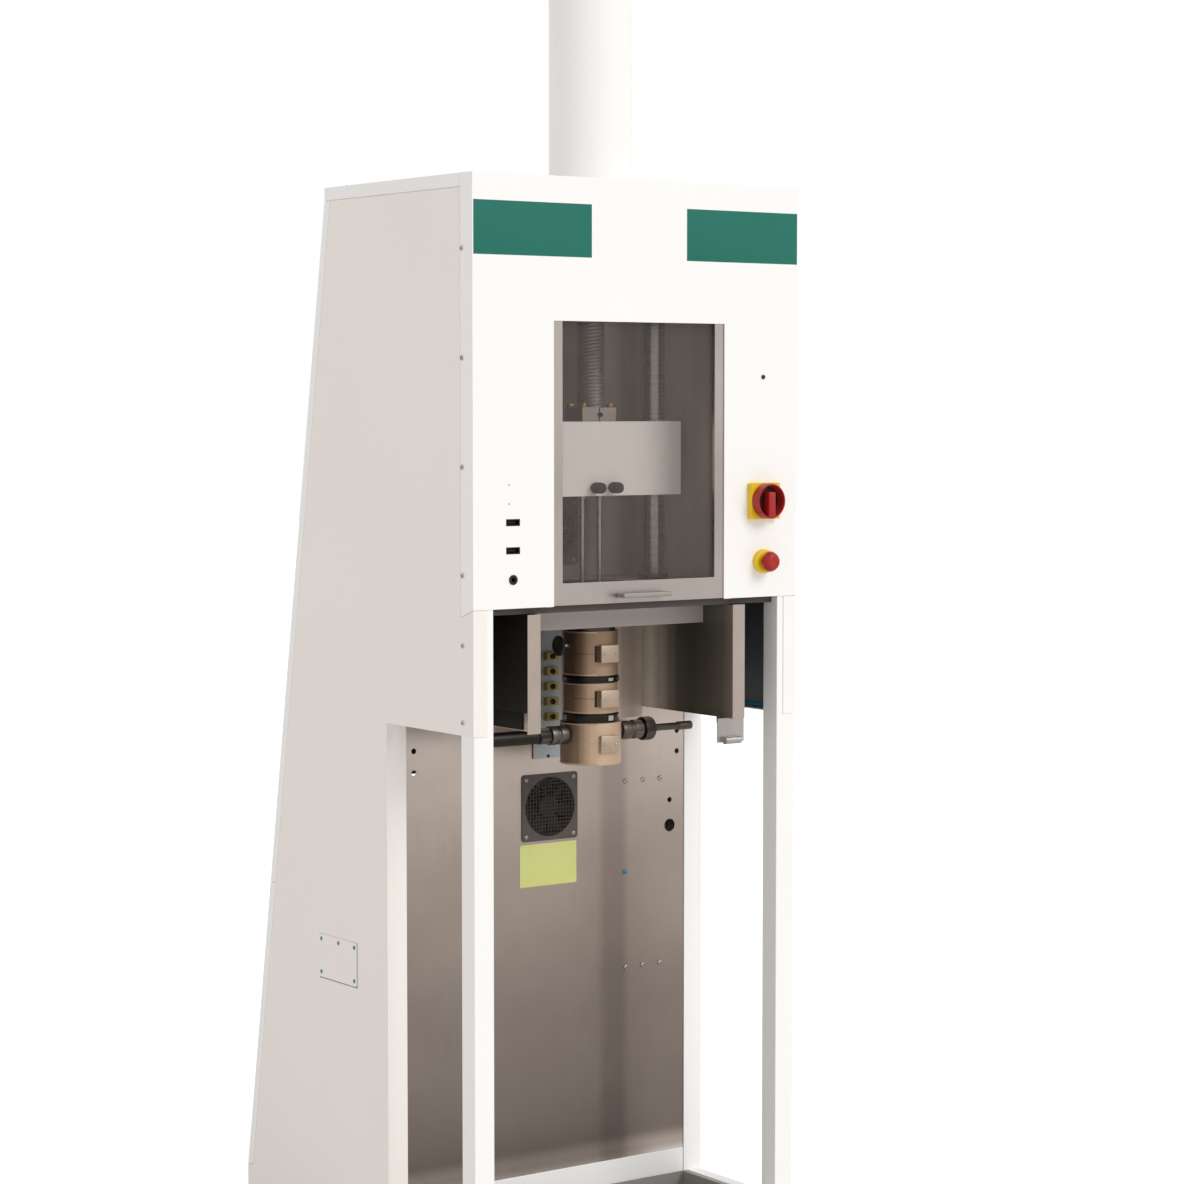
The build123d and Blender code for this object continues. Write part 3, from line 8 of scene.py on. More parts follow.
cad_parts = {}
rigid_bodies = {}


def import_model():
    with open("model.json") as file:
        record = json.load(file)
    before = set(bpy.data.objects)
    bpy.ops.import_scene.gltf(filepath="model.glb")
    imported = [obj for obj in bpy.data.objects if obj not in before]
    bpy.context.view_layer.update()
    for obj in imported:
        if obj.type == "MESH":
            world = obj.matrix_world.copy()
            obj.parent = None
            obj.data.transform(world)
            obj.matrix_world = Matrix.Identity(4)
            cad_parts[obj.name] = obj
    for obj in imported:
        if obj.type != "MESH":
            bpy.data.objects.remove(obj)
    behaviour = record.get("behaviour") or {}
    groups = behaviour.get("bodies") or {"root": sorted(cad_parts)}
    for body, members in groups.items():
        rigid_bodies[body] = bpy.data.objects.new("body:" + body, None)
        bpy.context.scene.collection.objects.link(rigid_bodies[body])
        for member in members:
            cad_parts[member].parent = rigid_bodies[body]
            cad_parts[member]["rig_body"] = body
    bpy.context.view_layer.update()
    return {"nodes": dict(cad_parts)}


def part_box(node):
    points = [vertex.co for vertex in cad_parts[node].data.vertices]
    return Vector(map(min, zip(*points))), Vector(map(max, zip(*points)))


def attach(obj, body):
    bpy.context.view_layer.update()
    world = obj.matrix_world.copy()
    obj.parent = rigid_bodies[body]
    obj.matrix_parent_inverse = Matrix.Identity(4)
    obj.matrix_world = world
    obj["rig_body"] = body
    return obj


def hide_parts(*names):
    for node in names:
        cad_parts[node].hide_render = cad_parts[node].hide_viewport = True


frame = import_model()
nodes = frame["nodes"]
scene = bpy.context.scene
print("frame loaded:", len(nodes), "nodes")

# all sizes below are millimetres in the part's own frame: front faces -Y, Z is up
def limits(nodeName):
    return [[v * 1000 for v in corner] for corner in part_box(nodeName)]


panelLow, panelHigh = limits("front_panel")
frontY, topZ = panelLow[1], panelHigh[2]
axisY = frontY + 152.0      # screw, columns and barrel stand on this line
bayY = frontY + 281.0       # back wall of the test chamber
lowerWallY = frontY + 283.0
rearY = frontY + 798.0
rearLean = 0.17072          # how far the back leans in for each millimetre of height
rearFootZ = 111.0
fans = {"lower": (830.0, lowerWallY), "upper": (1335.5, bayY)}     # height, and the wall it is in
sides = {"Left": -1, "Right": 1}


# nodes and materials

def hexToLinear(code):
    channels = [int(code[i:i + 2], 16) / 255 for i in (0, 2, 4)]
    return [c / 12.92 if c <= 0.04045 else ((c + 0.055) / 1.055) ** 2.4 for c in channels] + [1.0]


# an input takes a plain value, a socket, or a node, whose first output is then linked
def addNode(tree, kind, inputs=None, **settings):
    node = tree.nodes.new(kind)
    for key, value in settings.items():
        setattr(node, key, value)
    for key, value in (inputs or {}).items():
        if isinstance(value, bpy.types.Node):
            value = value.outputs[0]
        if isinstance(value, bpy.types.NodeSocket):
            tree.links.new(value, node.inputs[key])
        else:
            node.inputs[key].default_value = value
    return node


def startMaterial(name, colour, roughness, metallic=0.0, sockets=None):
    material = bpy.data.materials.new(name)
    material.use_nodes = True
    tree = material.node_tree
    tree.nodes.clear()
    shader = addNode(tree, "ShaderNodeBsdfPrincipled",
                     {"Base Color": hexToLinear(colour), "Roughness": roughness, "Metallic": metallic,
                      **(sockets or {})})
    addNode(tree, "ShaderNodeOutputMaterial", {"Surface": shader})
    place = addNode(tree, "ShaderNodeTexCoord").outputs["Object"]
    return material, tree, shader, place


def colourBetween(tree, shader, factor, first, second):
    blend = addNode(tree, "ShaderNodeMix",
                    {0: factor, 6: hexToLinear(first), 7: hexToLinear(second)}, data_type="RGBA")
    tree.links.new(blend.outputs[2], shader.inputs["Base Color"])
    return blend


def roughBetween(tree, shader, factor, low, high):
    spread = addNode(tree, "ShaderNodeMapRange", {"To Min": low, "To Max": high, "Value": factor})
    tree.links.new(spread.outputs[0], shader.inputs["Roughness"])


def raised(tree, shader, height, strength, depth):
    bump = addNode(tree, "ShaderNodeBump",
                   {"Strength": strength, "Distance": depth / 1000, "Height": height})
    tree.links.new(bump.outputs[0], shader.inputs["Normal"])


# baked powder paint: soft even sheen with a fine orange peel and a faint drift in tone
def powderCoat(name, colour, shade, roughness=0.42, peel=1.5):
    material, tree, shader, place = startMaterial(name, colour, roughness)
    skin = addNode(tree, "ShaderNodeTexNoise", {"Scale": 1000 / peel, "Detail": 2.0, "Vector": place})
    drift = addNode(tree, "ShaderNodeTexNoise", {"Scale": 1000 / 330, "Detail": 3.0, "Vector": place})
    colourBetween(tree, shader, drift, colour, shade)
    roughBetween(tree, shader, skin, roughness - 0.06, roughness + 0.08)
    raised(tree, shader, skin, 0.10, 0.06)
    return material


# soft change of tone along one axis, given as places in millimetres with their colours: painted light and
# shade laid over a material
def tonesAlong(tree, place, axis, stops):
    first, last = stops[0][0], stops[-1][0]
    spot = addNode(tree, "ShaderNodeSeparateXYZ", {0: place})
    share = addNode(tree, "ShaderNodeMapRange",
                    {"From Min": first / 1000, "From Max": last / 1000, "Value": spot.outputs[axis]})
    ramp = addNode(tree, "ShaderNodeValToRGB", {0: share})
    ramp.color_ramp.interpolation = "EASE"
    ends = ramp.color_ramp.elements
    ends[0].color = hexToLinear(stops[0][1])
    ends[1].color = hexToLinear(stops[-1][1])
    for where, code in stops[1:-1]:
        ends.new((where - first) / (last - first)).color = hexToLinear(code)
    return ramp


# streaks of one grit: long and straight on brushed sheet, rings on turned work
def streakedMetal(name, light, dark, roughness, streak, depth=0.02, tones=None, metallic=1.0, uneven=0.1):
    material, tree, shader, place = startMaterial(name, light, roughness, metallic)
    stretch = addNode(tree, "ShaderNodeMapping",
                      {"Scale": [1000 / size for size in streak], "Vector": place})
    lines = addNode(tree, "ShaderNodeTexNoise",
                    {"Scale": 1.0, "Detail": 4.0, "Roughness": 0.65, "Vector": stretch})
    cloud = addNode(tree, "ShaderNodeTexNoise", {"Scale": 1000 / 140, "Detail": 3.0, "Vector": place})
    worn = addNode(tree, "ShaderNodeMath", {0: lines, 1: cloud}, operation="MULTIPLY")
    spread = addNode(tree, "ShaderNodeMapRange", {"From Min": 0.12, "From Max": 0.42, "Value": worn})
    blend = colourBetween(tree, shader, spread, dark, light)
    # each tone ramp multiplies painted light and shade into the colour
    for axis, stops in tones or ():
        shaded = addNode(tree, "ShaderNodeMix",
                         {0: 1.0, 6: blend.outputs[2], 7: tonesAlong(tree, place, axis, stops)},
                         data_type="RGBA", blend_type="MULTIPLY")
        tree.links.new(shaded.outputs[2], shader.inputs["Base Color"])
        blend = shaded
    roughBetween(tree, shader, lines, max(roughness - 0.8 * uneven, 0.03), roughness + 1.2 * uneven)
    raised(tree, shader, lines, 0.12, depth)
    return material


# injection moulded plastic: fine spark texture that breaks up the highlight
def mouldedPlastic(name, colour, shade, roughness=0.4, grain=0.8, gloss=0.5):
    material, tree, shader, place = startMaterial(name, colour, roughness, sockets={
        "IOR": 1.49, "Specular IOR Level": gloss})
    spark = addNode(tree, "ShaderNodeTexNoise", {"Scale": 1000 / grain, "Detail": 3.0, "Vector": place})
    patch = addNode(tree, "ShaderNodeTexNoise", {"Scale": 1000 / 18, "Detail": 2.0, "Vector": place})
    colourBetween(tree, shader, patch, colour, shade)
    roughBetween(tree, shader, spark, roughness - 0.08, roughness + 0.1)
    raised(tree, shader, spark, 0.12, 0.04)
    return material


whitePaint = powderCoat("powderCoatWhite", "F9F8F7", "F5F4F2")
# the same white powder coat with painted shade, for the left side panel and its cover plate, which face away
# from the light
whitePaintShadedSide = powderCoat("powderCoatWhitePaintedShade", "F6F0EB", "F1EBE6")
# painted shadow: the cross rail under the front panel's bottom edge is coloured as dark as the shade it lies
# in
railPaintedShadow = powderCoat("powderCoatRailPaintedShadow", "4E4640", "463E39", 0.55)
headPaint = powderCoat("powderCoatLightGrey", "FBF2EA", "F3EAE3", 0.34)
platenPaint = powderCoat("groundCastIronGrey", "B4ABA8", "A29995", 0.34, 2.2)
trayPaint = powderCoat("powderCoatMidGrey", "9B9793", "8C8884", 0.45)
# cold rolled stainless, brushed upright, with painted reflection and shade: a broad soft painted glow,
# painted shade darker towards the floor with a pale painted reflection of the floor along its foot, and one
# dull upright band that is a painted dark reflection
backSteel = streakedMetal("brushedStainlessUpright", "FFFDFC", "EFEAE8", 0.3, (0.7, 0.7, 120), tones=(
    (2, ((92, "FFFFFF"), (140, "FFFAF6"), (168, "C2B7AF"), (200, "8A817B"), (420, "998F88"),
         (700, "B6ABA2"), (1010, "DDD3CB"))),
    (0, ((-330, "ECECEC"), (104, "ECECEC"), (130, "D6D4D5"), (160, "D6D4D5"), (186, "F0F0F0"),
         (335, "F2F2F2")))))
# bright annealed stainless, blurred by its rolling lines, with painted reflection and shade along its depth:
# darkest across its middle beside the barrel, where the dark barrel is painted in as a reflection
wallSteel = streakedMetal("brightStainless", "E4DBD4", "D8CFC7", 0.26, (0.6, 0.7, 90), 0.005, metallic=0.35,
                          uneven=0.02, tones=(
    (1, ((frontY + 5, "9C9991"), (frontY + 14, "8F8B83"), (frontY + 40, "726F68"), (frontY + 90, "575A54"),
         (frontY + 130, "454843"), (frontY + 166, "4C4F47"), (frontY + 190, "7B7973"),
         (frontY + 222, "C5C1C1"), (frontY + 255, "F9FCF7"), (frontY + 281, "E1E2DC"))),))
# the same sheet above the platen: evenly soft, with painted shade towards the front and painted light making
# it paler towards the back
wallSteelHigh = streakedMetal("satinStainless", "F2EBE5", "E8E0DA", 0.34, (2.2, 2.4, 160), 0.004,
                              metallic=0.2, uneven=0.02, tones=(
    (1, ((frontY + 5, "9E958D"), (frontY + 110, "ADA49C"), (frontY + 150, "C2B8B0"),
         (frontY + 190, "F0E5DC"), (frontY + 235, "FFF8F2"), (frontY + 262, "E8DDD4"),
         (frontY + 281, "C8BDB4"))),))
# brushed stainless back wall of the chamber: warm, with soft upright bands of light beside the bars that are
# painted highlights, and painted shade to either side of them
backWallSteel = streakedMetal("brushedStainlessWarm", "F6EFEA", "E6DDD6", 0.42, (60, 0.6, 0.6),
                              metallic=0.2, tones=(
    (0, ((-210, "A2978E"), (-60, "A2978E"), (40, "A2978E"), (75, "A2978E"), (104, "E6DBD2"), (128, "FFF8F1"),
         (146, "F6ECE3"), (168, "C2B7AE"), (186, "B6ABA2"), (210, "CABFB6"))),))
socketPlateZinc = streakedMetal("zincPlatedSheet", "B2B6B9", "9EA2A6", 0.4, (60, 0.6, 0.6), metallic=0.45)
flangeSteel = streakedMetal("brushedStainlessEdge", "C2B5AB", "AEA197", 0.3, (0.5, 0.5, 60))
# hard chrome, ground round: upright bar with crisp edges
groundBar = streakedMetal("groundChromeBar", "948C86", "7F7771", 0.24, (300, 300, 0.25))
pistonSteel = streakedMetal("groundPistonSteel", "AFA8A2", "968F89", 0.26, (300, 300, 0.25))
screwSteel = streakedMetal("rolledScrewSteel", "958B84", "7C736C", 0.38, (200, 200, 0.4), metallic=0.7)
turnedSteelX = streakedMetal("turnedSteelAcross", "7B736B", "5E5750", 0.34, (0.3, 200, 200), metallic=0.85)
brightSteelX = streakedMetal("turnedBrightSteel", "C4BFBA", "A19C97", 0.24, (0.3, 200, 200))
millSteel = streakedMetal("milledSteel", "A79F98", "8F8781", 0.32, (40, 0.5, 0.5))
barrelSteel = streakedMetal("nitridedSteel", "5B5550", "474240", 0.34, (200, 200, 0.4))
# heater band in heat tinted bronze sheet: warm, brushed round the barrel, with painted shade: darker towards
# its sides, most on the left, and darker on the upper bands, which lie in the shade of the platen
bandBronze = streakedMetal("brushedBronzeBand", "DAC2A9", "C4AC95", 0.42, (160, 160, 0.55), 0.03,
                           metallic=0.55, tones=(
    (0, ((-55, "8F857C"), (-48, "978C82"), (-44, "C0B5AA"), (-37, "DBD3CA"), (-30, "ECE6DF"),
         (-16, "F4F0EC"), (14, "EFE8E1"), (55, "D2CAC2"))),
    (2, ((925, "FFFFFF"), (1000, "FFFFFF"), (1017, "EAE6E3"), (1071, "E4E0DC"), (1085, "CCC7C1"),
         (1164, "C0BAB3")))))
boxBronze = streakedMetal("bronzeTerminalBox", "C0AB97", "A69280", 0.4, (0.5, 60, 60), metallic=0.7)
doorAluminium = streakedMetal("satinAnodisedAluminium", "B9B0AB", "A89F9A", 0.34, (0.45, 0.45, 90))
handleAluminium = streakedMetal("brushedAluminiumBar", "A8A09A", "938B85", 0.5, (60, 0.4, 0.4), metallic=0.7)
brassNut = streakedMetal("machinedBrass", "C8924A", "9C6B33", 0.25, (200, 200, 0.3))
goldBrass = streakedMetal("goldPassivatedBrass", "B49D62", "8A7644", 0.36, (0.5, 40, 40))
zincScrew = streakedMetal("brightZincScrew", "C2BDB8", "9A9590", 0.24, (0.3, 0.3, 0.3))
blueZinc = streakedMetal("blueZincScrew", "3F9DB8", "2B7C97", 0.4, (0.3, 0.3, 0.3), metallic=0.35)
# steel in a chemical black finish: dull, brown where it is rubbed
blackOxide = streakedMetal("blackOxideSteel", "3B3733", "272421", 0.36, (0.3, 60, 60))
burnishedSteel = streakedMetal("burnishedBrownSteel", "625951", "4A433D", 0.44, (0.3, 60, 60), metallic=0.7)
guardWire = streakedMetal("blackenedGuardWire", "4B4641", "3C3834", 0.5, (0.3, 20, 20), metallic=0.5)
blackPlastic = mouldedPlastic("blackNylon", "191615", "211E1C", 0.45, gloss=0.3)
fanPlastic = mouldedPlastic("greyBlackNylon", "564D48", "4D4540", 0.5, gloss=0.35)
rotorPlastic = mouldedPlastic("fanNylon", "383330", "302C29", 0.55, gloss=0.3)
knobPlastic = mouldedPlastic("knurledPhenolic", "2E2A27", "262321", 0.6, 1.2, gloss=0.15)
discPlastic = mouldedPlastic("blackPhenolic", "2A2725", "1C1A19", 0.4, 1.2, gloss=0.35)
isolatorYellow = mouldedPlastic("yellowPolyamide", "EFCB1C", "E4BD14", 0.36)
isolatorRed = mouldedPlastic("redPolyamide", "B02320", "9E1B18", 0.38, gloss=0.4)
# dark copy of the red handle plastic for the floor of its recess: painted shade
recessShadeRed = mouldedPlastic("redPolyamideRecessShade", "3A1210", "2E0E0C", 0.5, gloss=0.25)
lampLens = mouldedPlastic("smokedLens", "33302E", "3C3835", 0.18)
clearLens = mouldedPlastic("frostedLens", "E9E4E4", "E2DDDD", 0.4)
# closed cell sheet: swallows the light, only its edge shows
insulation = mouldedPlastic("blackInsulationSheet", "23201D", "2C2825", 0.85, 2.5, gloss=0.3)
tealFilm = mouldedPlastic("tealVinylFilm", "297062", "2C7465", 0.62, 1.6, gloss=0.12)
limeFilm = mouldedPlastic("limePolyesterFilm", "CDD084", "C7CA7B", 0.5, 1.2)
blueFilm = mouldedPlastic("bluePeelFilm", "2F93B5", "2A86A8", 0.35)
# grey for the painted shadow round the side cover plate
greyPaintedShadow = mouldedPlastic("paintedShadowUnderPlate", "8A817B", "7D746E", 0.7, 1.0, gloss=0.2)
beltRubber = mouldedPlastic("beltNeoprene", "222120", "2B2A28", 0.7, 1.0)
motorPaint = mouldedPlastic("motorEnamel", "30302F", "3A3A38", 0.5)
# dark blue-grey that stands in for the shade inside the deep cavity beside the chamber: painted shade
cavityShadePaint = powderCoat("blueGreyCavityPaintedShade", "565C62", "4C5257", 0.45)


# toughened glass in the door, faintly grey: the room shines in it a little, dulled here and there by dust
def toughenedGlass(name):
    material, tree, shader, place = startMaterial(name, "766F69", 0.04, sockets={
        "IOR": 1.52, "Specular IOR Level": 0.9, "Alpha": 0.15})
    dust = addNode(tree, "ShaderNodeTexNoise", {"Scale": 1000 / 60, "Detail": 4.0, "Vector": place})
    roughBetween(tree, shader, dust, 0.02, 0.08)
    return material


doorGlass = toughenedGlass("clearSafetyGlass")
print("materials ready:", len(bpy.data.materials))


# shapes

def newPiece(name, mesh, finish=None):
    piece = bpy.data.objects.new(name, mesh)
    scene.collection.objects.link(piece)
    if finish:
        mesh.materials.append(finish)
    return piece


creaseLimit = radians(33)


def markEdges(shape):
    for face in shape.faces:
        face.smooth = True
    for edge in shape.edges:
        edge.smooth = len(edge.link_faces) == 2 and edge.calc_face_angle(0) < creaseLimit


# a shape is drawn in millimetres and ends as a mesh in metres
def meshFrom(shape, name):
    bmesh.ops.scale(shape, vec=(0.001, 0.001, 0.001), verts=shape.verts)
    bmesh.ops.recalc_face_normals(shape, faces=shape.faces)
    markEdges(shape)
    mesh = bpy.data.meshes.new(name)
    shape.to_mesh(mesh)
    shape.free()
    return mesh


def fit(piece, body, slot, *replaced):
    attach(piece, body)
    if replaced:
        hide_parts(*replaced)
    return piece


def joined(name, parts):
    if len(parts) > 1:
        with bpy.context.temp_override(active_object=parts[0], selected_editable_objects=parts):
            bpy.ops.object.join()
    parts[0].name = name
    return parts[0]


def roundCorners(profile, radius):
    steps = 3
    rounded = [Vector(profile[0])]
    for before, corner, after in zip(profile, profile[1:], profile[2:]):
        middle = Vector(corner)
        back = Vector(before) - middle
        ahead = Vector(after) - middle
        reach = min(radius, back.length * 0.45, ahead.length * 0.45)
        start = middle + back.normalized() * reach
        finish = middle + ahead.normalized() * reach
        for i in range(steps + 1):
            t = i / steps
            rounded.append(start * (1 - t) ** 2 + middle * 2 * t * (1 - t) + finish * t * t)
    rounded.append(Vector(profile[-1]))
    return rounded


axisTurn = {"X": Matrix.Rotation(pi / 2, 4, "Y"), "Y": Matrix.Rotation(-pi / 2, 4, "X"),
            "Z": Matrix.Identity(4)}


# faces between rings of the same count, or from a ring to a single vertex on the axis
def bridge(shape, rings):
    for lower, upper in zip(rings, rings[1:]):
        count = max(len(lower), len(upper))
        for i in range(count):
            j = (i + 1) % count
            corners = list(dict.fromkeys((lower[i % len(lower)], lower[j % len(lower)],
                                          upper[j % len(upper)], upper[i % len(upper)])))
            if len(corners) > 2:
                shape.faces.new(corners)


def circleAt(shape, radius, z, count):
    return [shape.verts.new((radius * cos(tau * i / count), radius * sin(tau * i / count), z))
            for i in range(count)]


# lathe work: profile is (along the axis, radius) and starts and ends on the axis, or is a closed loop
def turned(name, profile, centre, axis, finish, corner=0.6, segments=64, loop=False):
    shape = bmesh.new()
    rings = [circleAt(shape, radius, along, segments if radius > 1e-6 else 1)
             for along, radius in roundCorners(profile, corner)]
    bridge(shape, rings + rings[:1] if loop else rings)
    bmesh.ops.transform(shape, matrix=Matrix.Translation(centre) @ axisTurn[axis], verts=shape.verts)
    return newPiece(name, meshFrom(shape, name), finish)


def softBlock(name, low, high, finish, edge=0.4, steps=2):
    low, high = Vector(low), Vector(high)
    shape = bmesh.new()
    bmesh.ops.create_cube(shape, size=1.0)
    bmesh.ops.scale(shape, vec=high - low, verts=shape.verts)
    bmesh.ops.bevel(shape, geom=shape.edges, offset=edge, segments=steps, profile=0.5, affect="EDGES")
    bmesh.ops.translate(shape, vec=(low + high) / 2, verts=shape.verts)
    return newPiece(name, meshFrom(shape, name), finish)


# flat outline in a plane that faces the front, pushed back along +Y
def frontSheet(name, outline, y, thickness, finish, edge):
    shape = bmesh.new()
    face = shape.faces.new([shape.verts.new((x, 0, z)) for x, z in outline])
    grown = bmesh.ops.extrude_face_region(shape, geom=[face])
    moved = [v for v in grown["geom"] if isinstance(v, bmesh.types.BMVert)]
    bmesh.ops.translate(shape, vec=(0, thickness, 0), verts=moved)
    rim = [e for e in shape.edges if max(vert.co.y for vert in e.verts) < 1e-6]
    bmesh.ops.bevel(shape, geom=rim, offset=edge, segments=2, profile=0.5, affect="EDGES")
    bmesh.ops.translate(shape, vec=(0, y, 0), verts=shape.verts)
    return newPiece(name, meshFrom(shape, name), finish)


def roundedOutline(centreX, centreZ, width, height, radius, steps=5):
    points = []
    for turnX, turnZ, start in ((1, 1, 0), (-1, 1, 1), (-1, -1, 2), (1, -1, 3)):
        for i in range(steps + 1):
            angle = pi / 2 * (start + i / steps)
            points.append((centreX + turnX * (width / 2 - radius) + radius * cos(angle),
                           centreZ + turnZ * (height / 2 - radius) + radius * sin(angle)))
    return points


# each loose solid of a mesh with its lowest and highest corner in millimetres
def separateSolids(shape):
    solids = []
    seen = set()
    for start in shape.verts:
        if start in seen:
            continue
        seen.add(start)
        solid = [start]
        for vert in solid:
            for edge in vert.link_edges:
                other = edge.other_vert(vert)
                if other not in seen:
                    seen.add(other)
                    solid.append(other)
        low = [min(vert.co[i] for vert in solid) * 1000 for i in range(3)]
        high = [max(vert.co[i] for vert in solid) * 1000 for i in range(3)]
        solids.append((solid, low, high))
    return solids


# merged copy of a CAD node with softened edges, which then stands for that node
def softened(nodeName, finish, slot, edge, keep=None, others=()):
    shape = bmesh.new()
    shape.from_mesh(nodes[nodeName].data)
    bmesh.ops.remove_doubles(shape, verts=shape.verts, dist=1e-5)
    if keep:
        dropped = [v for solid, low, high in separateSolids(shape) if not keep(low, high) for v in solid]
        bmesh.ops.delete(shape, geom=dropped, context="VERTS")
    bmesh.ops.dissolve_limit(shape, angle_limit=radians(0.8), verts=shape.verts, edges=shape.edges)
    markEdges(shape)
    for index, (test, extraFinish) in enumerate(others, 1):
        for solid, low, high in separateSolids(shape):
            if test(low, high):
                for face in {face for vert in solid for face in vert.link_faces}:
                    face.material_index = index
    mesh = bpy.data.meshes.new(nodeName)
    shape.to_mesh(mesh)
    shape.free()
    words = nodeName.split("_")
    piece = newPiece(words[0] + "".join(word.title() for word in words[1:]), mesh, finish)
    for test, extraFinish in others:
        mesh.materials.append(extraFinish)
    bevel = piece.modifiers.new("EdgeRadius", "BEVEL")
    bevel.width = edge / 1000
    bevel.segments = 2
    bevel.limit_method = "ANGLE"
    bevel.angle_limit = creaseLimit
    bevel.harden_normals = True
    return fit(piece, nodes[nodeName]["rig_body"], slot, nodeName)


# geometry nodes for what repeats

def startTree(name, inputs):
    tree = bpy.data.node_groups.new(name, "GeometryNodeTree")
    tree.interface.new_socket("Geometry", in_out="OUTPUT", socket_type="NodeSocketGeometry")
    tree.interface.new_socket("Geometry", in_out="INPUT", socket_type="NodeSocketGeometry")
    for label, kind in inputs.items():
        tree.interface.new_socket(label, in_out="INPUT", socket_type="NodeSocket" + kind)
    return tree, tree.nodes.new("NodeGroupInput").outputs


def endTree(tree, given, shape):
    whole = addNode(tree, "GeometryNodeRealizeInstances", {0: shape})
    coated = addNode(tree, "GeometryNodeSetMaterial", {"Geometry": whole, "Material": given["Material"]})
    addNode(tree, "NodeGroupOutput", {"Geometry": coated})


def runTree(name, tree, values, carrierMesh=None):
    carrier = bpy.data.objects.new(name + "Carrier", carrierMesh or bpy.data.meshes.new(name + "Carrier"))
    scene.collection.objects.link(carrier)
    modifier = carrier.modifiers.new("Build", "NODES")
    modifier.node_group = tree
    for item in tree.interface.items_tree:
        if item.in_out == "INPUT" and item.name in values:
            modifier[item.identifier] = values[item.name]
    evaluated = carrier.evaluated_get(bpy.context.evaluated_depsgraph_get())
    mesh = bpy.data.meshes.new_from_object(evaluated)
    mesh.name = name
    bpy.data.objects.remove(carrier)
    shape = bmesh.new()
    shape.from_mesh(mesh)
    markEdges(shape)
    shape.to_mesh(mesh)
    shape.free()
    return newPiece(name, mesh)


# heads stand on points, each along its point's facing and turned by chance
def fastenerTree():
    tree, given = startTree("fastenersOnPoints", {"Head": "Object", "Seed": "Int", "Material": "Material"})
    facing = addNode(tree, "GeometryNodeInputNamedAttribute", {"Name": "facing"}, data_type="FLOAT_VECTOR")
    upright = addNode(tree, "FunctionNodeAlignRotationToVector", {"Vector": facing}, axis="Z")
    chance = addNode(tree, "FunctionNodeRandomValue",
                     {2: 0.0, 3: tau, "Seed": given["Seed"]}, data_type="FLOAT")
    spin = addNode(tree, "FunctionNodeAxisAngleToRotation", {"Axis": (0, 0, 1), "Angle": chance.outputs[1]})
    turn = addNode(tree, "FunctionNodeRotateRotation",
                   {"Rotation": upright, "Rotate By": spin}, rotation_space="LOCAL")
    head = addNode(tree, "GeometryNodeObjectInfo", {"Object": given["Head"]})
    stand = addNode(tree, "GeometryNodeInstanceOnPoints",
                    {"Points": given["Geometry"], "Instance": head.outputs["Geometry"], "Rotation": turn})
    endTree(tree, given, stand)
    return tree


# square woven wire cut to a round opening
def wireGuardTree():
    tree, given = startTree("wireGuard", {"Opening": "Float", "Pitch": "Float", "Wire": "Float",
                                          "Count": "Int", "Centre": "Vector", "Material": "Material"})
    gaps = addNode(tree, "ShaderNodeMath", {0: given["Count"], 1: 1.0}, operation="SUBTRACT")
    reach = addNode(tree, "ShaderNodeMath", {0: gaps, 1: given["Pitch"]}, operation="MULTIPLY")
    first = addNode(tree, "ShaderNodeMath", {0: reach, 1: -0.5}, operation="MULTIPLY")
    start = addNode(tree, "ShaderNodeCombineXYZ", {0: first})
    step = addNode(tree, "ShaderNodeCombineXYZ", {0: given["Pitch"]})
    line = addNode(tree, "GeometryNodeMeshLine",
                   {"Count": given["Count"], "Start Location": start, "Offset": step})
    spot = addNode(tree, "GeometryNodeInputPosition")
    across = addNode(tree, "ShaderNodeSeparateXYZ", {0: spot})
    squared = addNode(tree, "ShaderNodeMath", {0: across, 1: across}, operation="MULTIPLY")
    radius2 = addNode(tree, "ShaderNodeMath",
                      {0: given["Opening"], 1: given["Opening"]}, operation="MULTIPLY")
    left = addNode(tree, "ShaderNodeMath", {0: radius2, 1: squared}, operation="SUBTRACT")
    half = addNode(tree, "ShaderNodeMath", {0: left}, operation="SQRT")
    length = addNode(tree, "ShaderNodeMath", {0: half, 1: 2.0}, operation="MULTIPLY")
    stretch = addNode(tree, "ShaderNodeCombineXYZ", {0: 1.0, 1: 1.0, 2: length})
    thick = addNode(tree, "ShaderNodeMath", {0: given["Wire"], 1: 0.5}, operation="MULTIPLY")
    rod = addNode(tree, "GeometryNodeMeshCylinder", {"Vertices": 6, "Depth": 1.0, "Radius": thick})
    upright = addNode(tree, "GeometryNodeInstanceOnPoints",
                      {"Points": line, "Instance": rod, "Scale": stretch})
    lying = addNode(tree, "GeometryNodeTransform", {"Rotation": (0, pi / 2, 0), "Geometry": upright})
    both = addNode(tree, "GeometryNodeJoinGeometry", {0: upright})
    tree.links.new(lying.outputs[0], both.inputs[0])
    placed = addNode(tree, "GeometryNodeTransform", {"Geometry": both, "Translation": given["Centre"]})
    endTree(tree, given, placed)
    return tree


